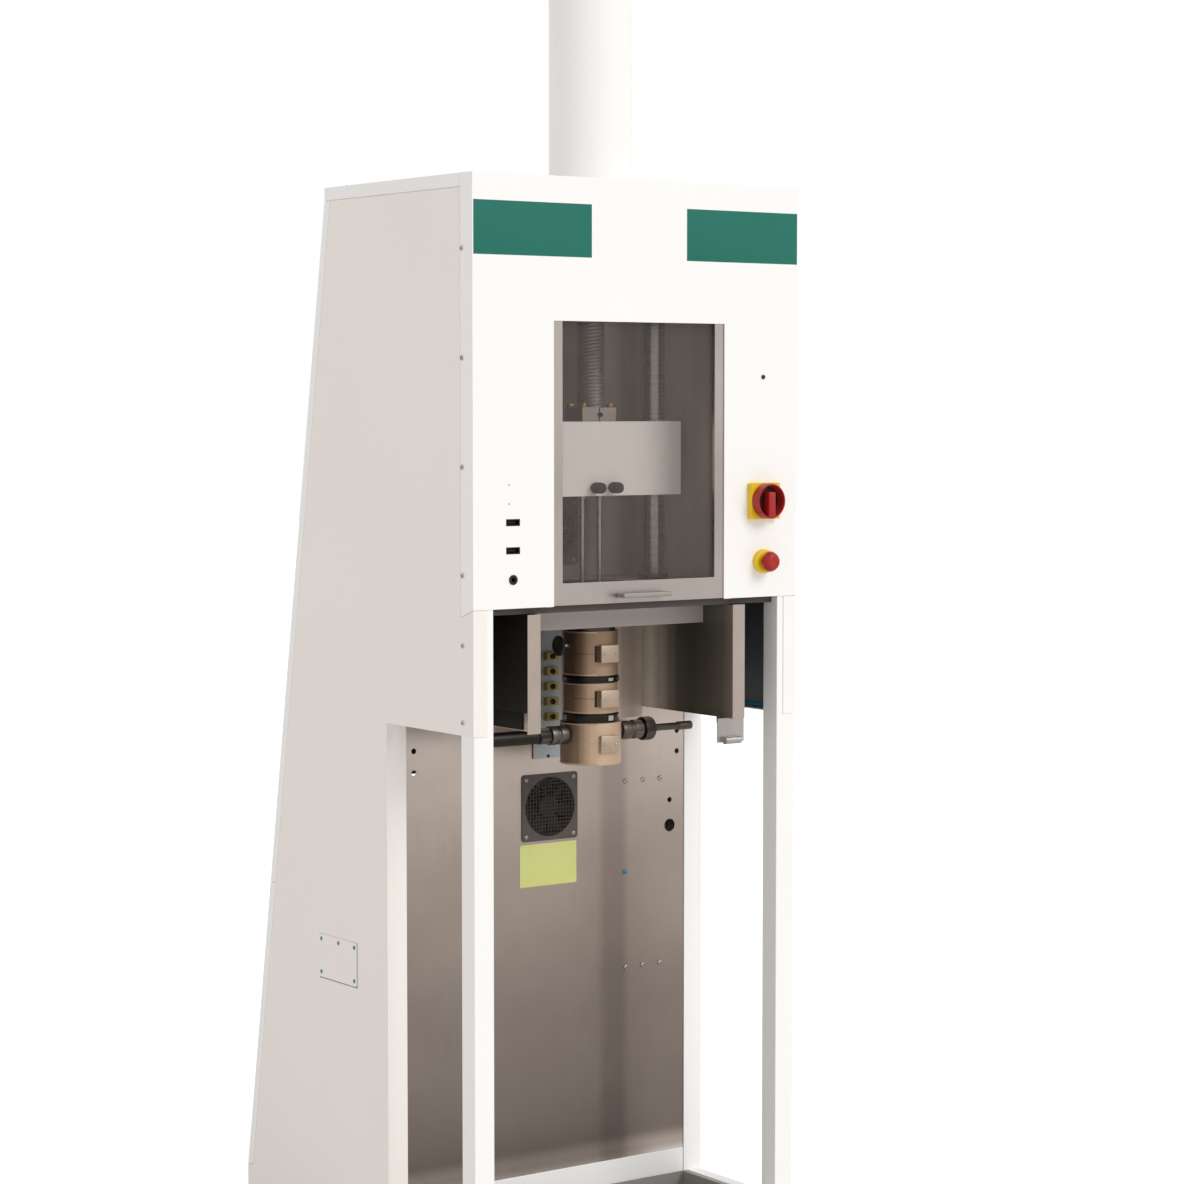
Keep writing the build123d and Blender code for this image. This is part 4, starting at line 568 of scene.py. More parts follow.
# round bar with helical ball tracks: radius drops by a rounded groove where the thread passes
def threadTree():
    tree, given = startTree("ballTrackThread", {"Radius": "Float", "Length": "Float", "Lead": "Float",
                                                "Starts": "Float", "Groove": "Float", "Rings": "Int",
                                                "Centre": "Vector", "Material": "Material"})
    rod = addNode(tree, "GeometryNodeMeshCylinder",
                  {"Vertices": 48, "Side Segments": given["Rings"], "Radius": given["Radius"],
                   "Depth": given["Length"]})
    spot = addNode(tree, "GeometryNodeInputPosition")
    axes = addNode(tree, "ShaderNodeSeparateXYZ", {0: spot})
    angle = addNode(tree, "ShaderNodeMath", {0: axes.outputs[1], 1: axes}, operation="ARCTAN2")
    turns = addNode(tree, "ShaderNodeMath", {0: angle, 1: tau}, operation="DIVIDE")
    climb = addNode(tree, "ShaderNodeMath", {0: axes.outputs[2], 1: given["Lead"]}, operation="DIVIDE")
    behind = addNode(tree, "ShaderNodeMath", {0: climb, 1: turns}, operation="SUBTRACT")
    starts = addNode(tree, "ShaderNodeMath", {0: behind, 1: given["Starts"]}, operation="MULTIPLY")
    phase = addNode(tree, "ShaderNodeMath", {0: starts}, operation="FRACT")
    middle = addNode(tree, "ShaderNodeMath", {0: phase, 1: 0.5}, operation="SUBTRACT")
    wide = addNode(tree, "ShaderNodeMath", {0: middle, 1: 0.36}, operation="DIVIDE")
    curve = addNode(tree, "ShaderNodeMath", {0: wide, 1: wide}, operation="MULTIPLY")
    bowl = addNode(tree, "ShaderNodeMath", {0: 1.0, 1: curve}, operation="SUBTRACT", use_clamp=True)
    deep = addNode(tree, "ShaderNodeMath", {0: bowl, 1: 0.5}, operation="POWER")
    share = addNode(tree, "ShaderNodeMath", {0: given["Groove"], 1: given["Radius"]}, operation="DIVIDE")
    cut = addNode(tree, "ShaderNodeMath", {0: deep, 1: share}, operation="MULTIPLY")
    keep = addNode(tree, "ShaderNodeMath", {0: 1.0, 1: cut}, operation="SUBTRACT")
    newX = addNode(tree, "ShaderNodeMath", {0: axes, 1: keep}, operation="MULTIPLY")
    newY = addNode(tree, "ShaderNodeMath", {0: axes.outputs[1], 1: keep}, operation="MULTIPLY")
    moved = addNode(tree, "ShaderNodeCombineXYZ", {0: newX, 1: newY, 2: axes.outputs[2]})
    cutRod = addNode(tree, "GeometryNodeSetPosition", {"Geometry": rod, "Position": moved})
    placed = addNode(tree, "GeometryNodeTransform", {"Geometry": cutRod, "Translation": given["Centre"]})
    endTree(tree, given, placed)
    return tree


# straight ribs round a drum, turned to any axis and placed
def ribTree():
    tree, given = startTree("ribsRoundDrum", {"Radius": "Float", "Count": "Int", "Length": "Float",
                                              "Rib": "Float", "Turn": "Vector", "Centre": "Vector",
                                              "Material": "Material"})
    ring = addNode(tree, "GeometryNodeMeshCircle", {"Vertices": given["Count"], "Radius": given["Radius"]})
    spot = addNode(tree, "GeometryNodeInputPosition")
    outward = addNode(tree, "FunctionNodeAlignRotationToVector", {"Vector": spot}, axis="X")
    rib = addNode(tree, "GeometryNodeMeshCylinder",
                  {"Vertices": 4, "Radius": given["Rib"], "Depth": given["Length"]})
    stand = addNode(tree, "GeometryNodeInstanceOnPoints",
                    {"Points": ring, "Instance": rib, "Rotation": outward})
    placed = addNode(tree, "GeometryNodeTransform",
                     {"Geometry": stand, "Rotation": given["Turn"], "Translation": given["Centre"]})
    endTree(tree, given, placed)
    return tree


fastenersOnPoints = fastenerTree()
wireGuard = wireGuardTree()
ballTrackThread = threadTree()
ribsRoundDrum = ribTree()
axisSpin = {"X": (0, pi / 2, 0), "Y": (-pi / 2, 0, 0), "Z": (0, 0, 0)}


def pointsMesh(name, places):
    mesh = bpy.data.meshes.new(name)
    mesh.from_pydata([[v / 1000 for v in place] for place, facing in places], [], [])
    mesh.attributes.new("facing", "FLOAT_VECTOR", "POINT")
    mesh.attributes["facing"].data.foreach_set("vector", [v for place, facing in places for v in facing])
    return mesh


# button head with a hex socket, lying on its seat and rising along +Z
def socketHead(screw):
    radius, height, socket = screw["diameter"] / 2, screw["height"], screw["socket"] / 2
    shape = bmesh.new()
    levels = [(0.0, radius), (0.25 * height, radius), (0.7 * height, radius * 0.82), (height, radius * 0.5)]
    rings = [circleAt(shape, r, z, 24) for z, r in levels]
    hexTop = []
    for i in range(24):
        stray = abs((i * 15) % 60 - 30)
        size = socket * cos(radians(30)) / cos(radians(30 - stray))
        hexTop.append(shape.verts.new((size * cos(tau * i / 24), size * sin(tau * i / 24), height)))
    hexFloor = [shape.verts.new((v.co.x, v.co.y, height * 0.35)) for v in hexTop]
    bridge(shape, rings + [hexTop, hexFloor])
    shape.faces.new(list(reversed(rings[0])))
    shape.faces.new(hexFloor)
    return bpy.data.objects.new("headTemplate", meshFrom(shape, "headTemplate"))


# hex nut with the end of its stud standing out of it
def nutOnStud(nut):
    corner, height, stud, rise = nut["across"] / 2 / cos(pi / 6), nut["height"], nut["stud"] / 2, nut["rise"]
    shape = bmesh.new()
    bmesh.ops.create_cone(shape, cap_ends=True, segments=6, radius1=corner, radius2=corner, depth=height,
                          matrix=Matrix.Translation((0, 0, height / 2)))
    bmesh.ops.bevel(shape, geom=shape.edges, offset=nut["across"] * 0.05, segments=2, profile=0.5,
                    affect="EDGES")
    bmesh.ops.create_cone(shape, cap_ends=True, segments=20, radius1=stud, radius2=stud * 0.9, depth=rise,
                          matrix=Matrix.Translation((0, 0, height + rise / 2 - 0.2)))
    return bpy.data.objects.new("nutTemplate", meshFrom(shape, "nutTemplate"))


# one head for every place, which is a point and the way its head faces
def fasteners(name, template, places, finish, seed, replaced=(), body="cabinet", slot="machined_steel"):
    piece = runTree(name, fastenersOnPoints, {"Head": template, "Seed": seed, "Material": finish},
                    pointsMesh(name + "Points", places))
    bpy.data.objects.remove(template)
    return fit(piece, body, slot, *replaced)


def ribs(name, axis, centre, finish, radius, count, length, rib):
    return runTree(name, ribsRoundDrum, {
        "Radius": radius / 1000, "Count": count, "Length": length / 1000, "Rib": rib / 1000,
        "Turn": axisSpin[axis], "Centre": [v / 1000 for v in centre], "Material": finish})


# sheet metal and frame: merged copies of the CAD nodes with the small folded radius that paint rounds off

def isRail(low, high):
    return high[0] - low[0] > 500


def isSocketPlate(low, high):
    return high[0] - low[0] < 100


def isFanFrame(low, high):
    return high[1] - low[1] > 15


sheetFinish = {
    "front_panel": (whitePaint, "white_paint", 0.7),
    "left_side_panel": (whitePaintShadedSide, "white_paint", 0.6),
    "right_side_panel": (whitePaint, "white_paint", 0.6),
    "top_cover": (whitePaint, "white_paint", 0.6),
    "upper_rear_cover": (whitePaint, "white_paint", 0.6),
    "lower_rear_cover": (whitePaint, "white_paint", 0.6),
    "front_frame": (whitePaint, "white_paint", 2.0, {"others": [(isRail, railPaintedShadow)]}),
    "cabinet_frame": (whitePaint, "white_paint", 2.0),
    "side_cover_plate": (whitePaintShadedSide, "white_paint", 0.35),
    "screw_tube": (whitePaint, "white_paint", 0.5),
    "tube_cap": (whitePaint, "white_paint", 0.4),
    "load_frame": (trayPaint, "frame_paint", 2.0),
    "base_tray": (trayPaint, "frame_paint", 0.6),
    "control_box": (trayPaint, "frame_paint", 0.6),
    "lower_back_panel": (backSteel, "stainless", 0.3),
    "upper_back_wall": (backWallSteel, "stainless", 0.3, {"others": [(isSocketPlate, socketPlateZinc)]}),
    "left_chamber_wall": (flangeSteel, "stainless", 0.4),
    "right_chamber_wall": (flangeSteel, "stainless", 0.4),
    "guard_brackets": (brightSteelX, "stainless", 0.4),
    "door_frame": (doorAluminium, "door_metal", 0.6),
    "door_channels": (doorAluminium, "door_metal", 0.4),
    "door_handle": (handleAluminium, "door_metal", 2.2),
    "platen": (platenPaint, "casting", 1.5),
    "crown_plate": (millSteel, "machined_steel", 1.0),
    "crosshead_cover": (headPaint, "frame_paint", 0.8),
    "crosshead_block": (millSteel, "machined_steel", 1.0),
    "guide_columns": (groundBar, "machined_steel", 0.8),
    "guide_bushes": (millSteel, "machined_steel", 0.6),
    "screw_clamp": (millSteel, "machined_steel", 1.0),
    "nut_housing": (millSteel, "machined_steel", 0.8),
    "ball_nut": (millSteel, "machined_steel", 0.5),
    "motor_pulley": (millSteel, "machined_steel", 0.5),
    "load_cells": (groundBar, "machined_steel", 0.6),
    "barrel": (barrelSteel, "machined_steel", 0.8),
    "die_nuts": (blackOxide, "dark_steel", 0.4),
    "upper_heater_band": (bandBronze, "heater_bronze", 0.6),
    "middle_heater_band": (bandBronze, "heater_bronze", 0.6),
    "lower_heater_band": (bandBronze, "heater_bronze", 0.6),
    "thermocouple_sockets": (goldBrass, "heater_bronze", 0.5),
    "isolator_plate": (isolatorYellow, "yellow_plastic", 1.6),
    "fan_housings": (fanPlastic, "black_plastic", 0.5, {"keep": isFanFrame}),
    "upper_fan_rotor": (rotorPlastic, "black_plastic", 0.4),
    "lower_fan_rotor": (rotorPlastic, "black_plastic", 0.4),
    "front_sockets": (blackPlastic, "black_plastic", 0.3),
    "drive_motor": (motorPaint, "black_plastic", 1.0),
    "drive_belt": (beltRubber, "belt_rubber", 0.5),
    "levelling_feet": (blackOxide, "black_plastic", 0.8),
    "door_glass": (doorGlass, "door_pane", 0.4),
    "left_piston": (pistonSteel, "machined_steel", 0.3),
    "right_piston": (pistonSteel, "machined_steel", 0.3),
}
for nodeName, (finish, slotName, edge, *more) in sheetFinish.items():
    softened(nodeName, finish, slotName, edge, **(more[0] if more else {}))
print("sheets and machined parts softened:", len(sheetFinish))

# thin sheets: wall skins, insulation and films


# upright sheets beside the chamber, alike at both sides: each block has its front line, low, high and finish
def sideSheets(name, sheet, slot, edge, steps=2):
    for label, side in sides.items():
        near, far = sorted((side * sheet["inner"], side * sheet["outer"]))
        parts = [softBlock(name, (near, front, low), (far, sheet["back"], high), finish, edge, steps)
                 for front, low, high, finish in sheet["blocks"]]
        fit(joined(name + label, parts), "cabinet", slot)


wallSkin = {"inner": 208.75, "outer": 209.0, "back": frontY + 280.3,
            "blocks": ((frontY + 5.5, 1003.4, 1208.0, wallSteel), (frontY + 44.5, 1208.0, 1251.5, wallSteel),
                       (frontY + 5.5, 1251.5, 1755.5, wallSteelHigh))}
sideSheets("brightWallSkin", wallSkin, "stainless", 0.05, 1)

insulationSheet = {"inner": 210.7, "outer": 213.4, "back": frontY + 279.5,
                   "blocks": ((frontY + 57.5, 1005.0, 1035.0, insulation),
                              (frontY + 10.5, 1035.0, 1206.0, insulation),
                              (frontY + 44.5, 1206.0, 1252.0, insulation),
                              (frontY + 10.5, 1252.0, 1752.0, insulation))}
sideSheets("insulationSheet", insulationSheet, "black_plastic", 0.3)

# dark sheets over the inside faces of the side panels beside the chamber: painted shade of the deep cavity
sideLining = {"inner": 347.3, "outer": 347.9, "back": frontY + 279.5,
              "blocks": ((frontY + 46.5, 1008.4, 1900.0, cavityShadePaint),)}
sideSheets("sideLining", sideLining, "frame_paint", 0.15)

peelStrip = {"x": (346.6, 347.2), "y": (frontY + 48.5, frontY + 276.5), "z": (1008.5, 1017.0)}
fit(softBlock("bluePeelStrip", *zip(peelStrip["x"], peelStrip["y"], peelStrip["z"]), blueFilm, 0.1),
    "cabinet", "frame_paint")

tealBand = {"spans": ((-348.0, -105.0), (100.0, 349.2)), "middle": 1864.5, "height": 91.0, "film": 0.16}
bands = []
for left, right in tealBand["spans"]:
    outline = roundedOutline((left + right) / 2, tealBand["middle"], right - left, tealBand["height"], 0.5, 2)
    bands.append(frontSheet("tealBand", outline, frontY - tealBand["film"], tealBand["film"] - 0.02,
                            tealFilm, 0.04))
fit(joined("tealBands", bands), "cabinet", "white_paint")

# dark strip behind the side cover plate, a little proud of the panel, that shows as a thin dark line round
# the plate, widest along its bottom: painted shadow of the plate
plateLow, plateHigh = limits("side_cover_plate")
plateShadowSize = {"show": 0.7, "below": 1.9, "proud": 0.45, "inset": 0.4}
fit(softBlock("sidePlateGasket", (plateHigh[0] - plateShadowSize["proud"], plateLow[1] - plateShadowSize["show"],
                                  plateLow[2] - plateShadowSize["below"]),
              (plateHigh[0] - plateShadowSize["inset"], plateHigh[1] + plateShadowSize["show"], plateHigh[2]),
              greyPaintedShadow, 0.15),
    "cabinet", "black_plastic")

limePlate = {"outline": (-3.0, 724.0, 126.0, 78.0, 1.5), "thickness": 0.6, "gap": 0.05}
fit(frontSheet("blankLimePlate", roundedOutline(*limePlate["outline"]),
               lowerWallY - limePlate["thickness"] - limePlate["gap"], limePlate["thickness"],
               limeFilm, 0.12),
    "cabinet", "yellow_plastic")
print("skins, insulation and films made")

# screws

sideScrew = {"diameter": 9.0, "height": 2.4, "socket": 4.2, "x": 350.0, "y": frontY + 33.0,
             "drops": (126.3, 310.2, 494.2, 677.5, 796.4, 927.7)}
fasteners("sidePanelScrews", socketHead(sideScrew),
          [((side * sideScrew["x"], sideScrew["y"], topZ - drop), (side, 0, 0))
           for side in sides.values() for drop in sideScrew["drops"]],
          zincScrew, 3, ["side_screws"])

plateScrew = {"diameter": 8.0, "height": 0.95, "socket": 3.2, "x": -351.5,
              "places": ((511.0, 589.0), (450.0, 589.0), (394.0, 589.0), (511.0, 528.0), (394.0, 528.0))}
fasteners("sidePlateScrews", socketHead(plateScrew),
          [((plateScrew["x"], frontY + y, z), (-1, 0, 0)) for y, z in plateScrew["places"]],
          blueZinc, 5)

wallScrew = {"diameter": 10.0, "height": 3.2, "socket": 4.6, "xs": (173.0, 212.8, 252.5),
             "zs": (864.3, 513.3), "blue": (170.7, lowerWallY, 693.2)}
fasteners("backPanelScrews", socketHead(wallScrew),
          [((x, lowerWallY, z), (0, -1, 0)) for x in wallScrew["xs"] for z in wallScrew["zs"]],
          zincScrew, 7)
fasteners("bluePanelScrew", socketHead(wallScrew), [(wallScrew["blue"], (0, -1, 0))], blueZinc, 9)

rearScrew = {"diameter": 9.0, "height": 2.2, "socket": 4.2, "x": 336.0,
             "zs": (150.0, 400.0, 640.0, 720.0, 1100.0, 1500.0, 1900.0)}
lean = Vector((0, 1, rearLean)).normalized()
fasteners("rearCoverScrews", socketHead(rearScrew),
          [((side * rearScrew["x"], rearY - (z - rearFootZ) * rearLean, z), lean)
           for side in sides.values() for z in rearScrew["zs"]],
          zincScrew, 11)

topScrew = {"diameter": 9.0, "height": 2.2, "socket": 4.2, "x": 335.0,
            "ys": (frontY + 56.5, frontY + 271.5, frontY + 431.5)}
fasteners("topCoverScrews", socketHead(topScrew),
          [((side * topScrew["x"], y, topZ), (0, 0, 1)) for side in sides.values() for y in topScrew["ys"]],
          zincScrew, 13)

fanScrew = {"diameter": 8.0, "height": 1.6, "socket": 3.8, "reach": 52.5, "out": 2.4}
fasteners("fanScrews", socketHead(fanScrew),
          [((sideX * fanScrew["reach"], wallY - fanScrew["out"], z + sideZ * fanScrew["reach"]), (0, -1, 0))
           for z, wallY in fans.values() for sideX in (-1, 1) for sideZ in (-1, 1)],
          millSteel, 15)

crownBolt = {"diameter": 16.0, "height": 8.0, "socket": 8.0, "z": 1781.0,
             "places": ((-140, 0), (140, 0), (-190, -75), (190, -75), (-190, 285), (190, 285))}
fasteners("crownBolts", socketHead(crownBolt),
          [((x, axisY + y, crownBolt["z"]), (0, 0, 1)) for x, y in crownBolt["places"]],
          blackOxide, 17, slot="dark_steel")

stripScrew = {"diameter": 6.0, "height": 1.8, "socket": 2.6, "place": (-4.7, bayY - 1.5, 924.0)}
fasteners("socketPlateScrew", socketHead(stripScrew), [(stripScrew["place"], (0, -1, 0))],
          blackOxide, 19, slot="dark_steel")
print("screws made")

# fan guards

fanGuard = {"opening": 54.0, "pitch": 6.6, "wire": 1.5, "count": 16, "meshDepth": 1.2,
            "size": 123.0, "corner": 2.0, "plate": 2.3, "plateOpening": 54.5, "gap": 0.05, "segments": 96}


# square sheet with a round opening, facing the front
def fanPlate(name, wallY, z):
    corner, half = fanGuard["corner"], fanGuard["size"] / 2
    opening, thickness, count = fanGuard["plateOpening"], fanGuard["plate"], fanGuard["segments"]
    front = wallY - thickness - fanGuard["gap"]
    shape = bmesh.new()
    rings = []
    for radius, depth in ((0, 0), (0, thickness), (opening, thickness), (opening, 0)):
        ring = []
        for i in range(count):
            angle = tau * (i + 0.5) / count
            reach = radius or half / max(abs(cos(angle)), abs(sin(angle)))
            spot = (reach * cos(angle), reach * sin(angle))
            if not radius:
                over = [max(abs(v) - (half - corner), 0) for v in spot]
                pull = corner / max((over[0] ** 2 + over[1] ** 2) ** 0.5, corner)
                spot = [(abs(v) - o + o * pull) * (1 if v > 0 else -1) for v, o in zip(spot, over)]
            ring.append(shape.verts.new((spot[0], front + depth, z + spot[1])))
        rings.append(ring)
    bridge(shape, rings + rings[:1])
    return newPiece(name, meshFrom(shape, name), fanPlastic)


for label, (z, wallY) in fans.items():
    fit(fanPlate(label + "FanPlate", wallY, z), "cabinet", "black_plastic")
    guard = runTree(label + "FanMesh", wireGuard, {
        "Opening": fanGuard["opening"] / 1000, "Pitch": fanGuard["pitch"] / 1000,
        "Wire": fanGuard["wire"] / 1000, "Count": fanGuard["count"],
        "Centre": (0, (wallY - fanGuard["meshDepth"]) / 1000, z / 1000), "Material": guardWire})
    fit(guard, "cabinet", "dark_steel")
print("fan guards woven")

# ball screw and its clamp

ballScrew = {"radius": 25.0, "low": 1505.0, "high": 2194.0, "lead": 25.0, "starts": 4.0, "groove": 1.7,
             "rings": 720}
thread = runTree("threadedBallScrew", ballTrackThread, {
    "Radius": ballScrew["radius"] / 1000, "Length": (ballScrew["high"] - ballScrew["low"]) / 1000,
    "Lead": ballScrew["lead"] / 1000, "Starts": ballScrew["starts"], "Groove": ballScrew["groove"] / 1000,
    "Rings": ballScrew["rings"],
    "Centre": (0, axisY / 1000, (ballScrew["low"] + ballScrew["high"]) / 2000), "Material": screwSteel})
fit(thread, "crosshead", "machined_steel", "ball_screw")

clampNut = {"across": 16.0, "height": 5.5, "stud": 9.0, "rise": 2.0, "x": 29.0, "y": 20.0, "z": 1562.0}
fasteners("clampNuts", nutOnStud(clampNut),
          [((sideX * clampNut["x"], axisY + sideY * clampNut["y"], clampNut["z"]), (0, 0, 1))
           for sideX in (-1, 1) for sideY in (-1, 1)],
          brassNut, 21, body="crosshead", slot="heater_bronze")
clampScrew = {"diameter": 9.0, "height": 6.0, "socket": 4.6, "place": (1.0, axisY - 28.0, 1549.0)}
fasteners("clampSideScrew", socketHead(clampScrew), [(clampScrew["place"], (0, -1, 0))],
          blackOxide, 23, body="crosshead", slot="dark_steel")
print("ball screw cut")

# controls

isolator = {"x": 269.8, "z": 1394.2, "back": frontY - 12.3, "front": frontY - 31.9,
            "grip": {"half": 7.6, "below": 28.6, "above": 16.5, "rise": 1.2}, "pocketRise": 1.95}
x, z, size = isolator["x"], isolator["z"], isolator["grip"]
centre = (x, isolator["back"], z)
disc = turned("isolatorDisc", [(0, 0), (0, 31.6), (-15.9, 31.6), (-17.5, 30.4), (-17.3, 28.4), (-2.2, 27.4),
                               (-1.8, 0)], centre, "Y", isolatorRed, 0.8, 72)
grip = softBlock("isolatorGrip", (x - size["half"], isolator["front"], z - size["below"]),
                 (x + size["half"], isolator["back"] - size["rise"], z + size["above"]), isolatorRed, 2.6, 4)
shaft = turned("isolatorShaft", [(0, 0), (0, 5.9), (22.0, 5.9), (22.0, 0)], centre, "Y", isolatorRed, 0.4, 24)
fit(joined("isolatorRotaryHandle", [disc, grip, shaft]), "isolator", "red_plastic", "isolator_handle")
# dark red disc on the floor of the handle's recess: painted shade in the recess
pocket = turned("isolatorPocket", [(0, 0), (0, 27.0), (-0.35, 27.0), (-0.35, 0)],
                (x, isolator["back"] - isolator["pocketRise"], z), "Y", recessShadeRed, 0.1, 48)
fit(pocket, "isolator", "red_plastic")

stop = {"x": 271.1, "z": 1285.5, "headBack": frontY - 22.0}
collar = turned("estopRing", [(0, 14.0), (0, 21.5), (-9.5, 21.5), (-12.0, 18.5), (-12.0, 10.1), (20.0, 10.1),
                              (28.0, 10.1), (28.0, 13.7), (0.1, 13.7), (0.05, 13.8)],
                (stop["x"], frontY, stop["z"]), "Y", isolatorYellow, 0.8, 72, loop=True)
fit(collar, "cabinet", "yellow_plastic", "estop_collar")
mushroom = turned("estopMushroom", [(-13.9, 0), (-13.9, 9.0), (-13.2, 12.4), (-9.5, 15.4), (-5.0, 17.6),
                                    (-1.6, 18.6), (0, 16.8), (0, 9.9), (31.0, 9.9), (31.0, 0)],
                  (stop["x"], stop["headBack"], stop["z"]), "Y", isolatorRed, 2.0, 72)
fit(mushroom, "stop_button", "red_plastic", "estop_button")

port = {"xs": (-277.5, -260.5), "ys": (frontY + 4.0, frontY + 13.0), "half": 1.4, "zs": (1367.4, 1319.6)}
tongues = [softBlock("portTongue", *zip(port["xs"], port["ys"], (z - port["half"], z + port["half"])),
                     blackPlastic, 0.3)
           for z in port["zs"]]
statusLens = {"x": 272.0, "z": 1616.3}
lens = turned("statusLens", [(0, 0), (0, 3.6), (-1.2, 3.4), (-1.9, 2.2), (-2.1, 0)],
              (statusLens["x"], frontY, statusLens["z"]), "Y", lampLens, 0.5, 32)
fit(joined("portTonguesAndLens", tongues + [lens]), "cabinet", "black_plastic")
indicator = {"x": -277.0, "zs": (1431.3, 1399.2)}
dots = [turned("indicatorLens", [(0.15, 0), (0.15, 1.45), (1.4, 1.45), (1.4, 0)],
               (indicator["x"], frontY, z), "Y", clearLens, 0.1, 20) for z in indicator["zs"]]
fit(joined("indicatorLenses", dots), "cabinet", "white_paint")
print("controls made")

# knobs

pistonKnob = {"xs": {"left": -19.0, "right": 19.0}, "z": 1419.5, "back": frontY + 113.7, "ribRise": 13.4,
              "ribs": {"radius": 9.45, "count": 32, "length": 18.0, "rib": 0.55}}
for label, x in pistonKnob["xs"].items():
    centre = (x, pistonKnob["back"], pistonKnob["z"])
    grip = turned(label + "Grip", [(0, 0), (0, 7.5), (-2.4, 9.5), (-24.4, 9.5), (-26.8, 7.5), (-26.9, 0)],
                  centre, "Y", knobPlastic, 1.6, 48)
    stem = turned(label + "Stem", [(-0.5, 0), (-0.5, 3.9), (27.0, 3.9), (27.0, 0)],
                  centre, "Y", zincScrew, 0.3, 24)
    grooves = ribs(label + "Grooves", "Y", (x, pistonKnob["back"] - pistonKnob["ribRise"], pistonKnob["z"]),
                   knobPlastic, **pistonKnob["ribs"])
    fit(joined(label + "PistonKnobGrip", [grip, stem, grooves]), label + "_knob", "knob_steel",
        label + "_piston_knob")

sideKnob = {"z": 1138.0, "inner": -61.0, "ribOut": 8.8,
            "ribs": {"radius": 18.1, "count": 44, "length": 3.4, "rib": 0.4}}
centre = (sideKnob["inner"], axisY, sideKnob["z"])
disc = turned("sideKnobDisc", [(0, 0), (0, 8.6), (-5.6, 9.6), (-6.0, 17.2), (-7.0, 18.2), (-10.6, 18.2),
                               (-11.9, 16.4), (-11.9, 10.0), (-10.9, 9.0), (-10.9, 0)],
              centre, "X", discPlastic, 0.8, 64)
stem = turned("sideKnobStem", [(-1.0, 0), (-1.0, 4.9), (15.6, 4.9), (15.6, 0)],
              centre, "X", zincScrew, 0.3, 32)
grooves = ribs("sideKnobRibs", "X", (sideKnob["inner"] - sideKnob["ribOut"], axisY, sideKnob["z"]),
               discPlastic, **sideKnob["ribs"])
fit(joined("barrelSideKnob", [disc, stem, grooves]), "side_knob", "black_plastic", "barrel_knob")
print("knobs turned")

# heater band fittings

bandFit = {
    "upper": {"top": 1164.0, "height": 79.5, "radius": 49.0, "seam": True},
    "middle": {"top": 1071.0, "height": 54.0, "radius": 49.0, "seam": True},
    "lower": {"top": 1000.0, "height": 75.0, "radius": 55.0, "seam": False},
}
lid = {"front": axisY - 60.7, "back": axisY - 55.0, "half": (19.3, 15.6), "gapHalf": (18.95, 15.1)}
hemEdges = (0.6, 3.0)
ringGaps = ((1073.0, 1082.5), (1002.0, 1015.0))
clipAngles = (-100, 10, 42)


# strip that follows a band's curve between two angles, angle 0 facing the front
def curvedStrip(name, radius, thickness, angles, low, high, finish, steps=16):
    shape = bmesh.new()
    loops = []
    for i in range(steps + 1):
        angle = radians(angles[0] + (angles[1] - angles[0]) * i / steps) - pi / 2
        loops.append([shape.verts.new((r * cos(angle), axisY + r * sin(angle), z))
                      for r, z in ((radius, low), (radius + thickness, low), (radius + thickness, high),
                                   (radius, high))])
    bridge(shape, loops)
    shape.faces.new(list(reversed(loops[0])))
    shape.faces.new(loops[-1])
    return newPiece(name, meshFrom(shape, name), finish)


darkFittings = []
brightFittings = []
for label, b in bandFit.items():
    low, middle, skin = b["top"] - b["height"], b["top"] - b["height"] / 2, b["radius"] - 0.2
    if b["seam"]:
        # the dark strip just left of each lid is painted shade beside the lid's side; the fine dark line
        # across the band is its seam
        darkFittings += [curvedStrip(label + "Slot", skin, 0.5, (-27.0, -22.5), middle - 15.0, middle + 14.0,
                                     blackOxide, 4),
                         curvedStrip(label + "Seam", skin, 0.35, (-75.0, -27.0), middle - 0.5, middle + 0.3,
                                     blackOxide, 20)]
    else:
        brightFittings.append(curvedStrip(label + "SlotLine", skin, 0.6, (-50.0, -26.0), middle + 1.0,
                                          middle + 2.6, zincScrew))
    near, far = hemEdges
    for edgeLow, edgeHigh in ((b["top"] - far, b["top"] - near), (low + near, low + far)):
        brightFittings.append(curvedStrip(label + "Hem", b["radius"] - 0.1, 0.7, (-160.0, -22.0), edgeLow,
                                          edgeHigh, boxBronze, 40))
    (wide, tall), (gapWide, gapTall) = lid["half"], lid["gapHalf"]
    brightFittings.append(softBlock(label + "Lid", (-wide, lid["front"], middle - tall),
                                    (wide, lid["back"], middle + tall), boxBronze, 1.2))
    darkFittings.append(softBlock(label + "LidGap", (-gapWide, lid["back"] - 0.1, middle - gapTall),
                                  (gapWide, lid["back"] + 0.6, middle + gapTall), blackOxide, 0.1))
for low, high in ringGaps:
    darkFittings.append(turned("gapRing", [(low, 44.2), (low, 50.5), (high, 50.5), (high, 44.2)],
                               (0, axisY, 0), "Z", blackOxide, 0.8, 64, loop=True))
    brightFittings += [curvedStrip("clipTab", 50.4, 1.4, (angle - 7, angle + 7), low + 2.0, high - 2.0,
                                   zincScrew, 6) for angle in clipAngles]
fit(joined("bandDarkFittings", darkFittings), "cabinet", "dark_steel")
fit(joined("bandBrightFittings", brightFittings), "cabinet", "heater_bronze")

lidScrew = {"diameter": 5.0, "height": 1.4, "socket": 2.4, "x": 13.5}
fasteners("lidScrews", socketHead(lidScrew),
          [((side * lidScrew["x"], lid["front"], b["top"] - b["height"] / 2), (0, -1, 0))
           for b in bandFit.values() for side in (-1, 1)],
          zincScrew, 25)
print("heater bands fitted")

# transducers

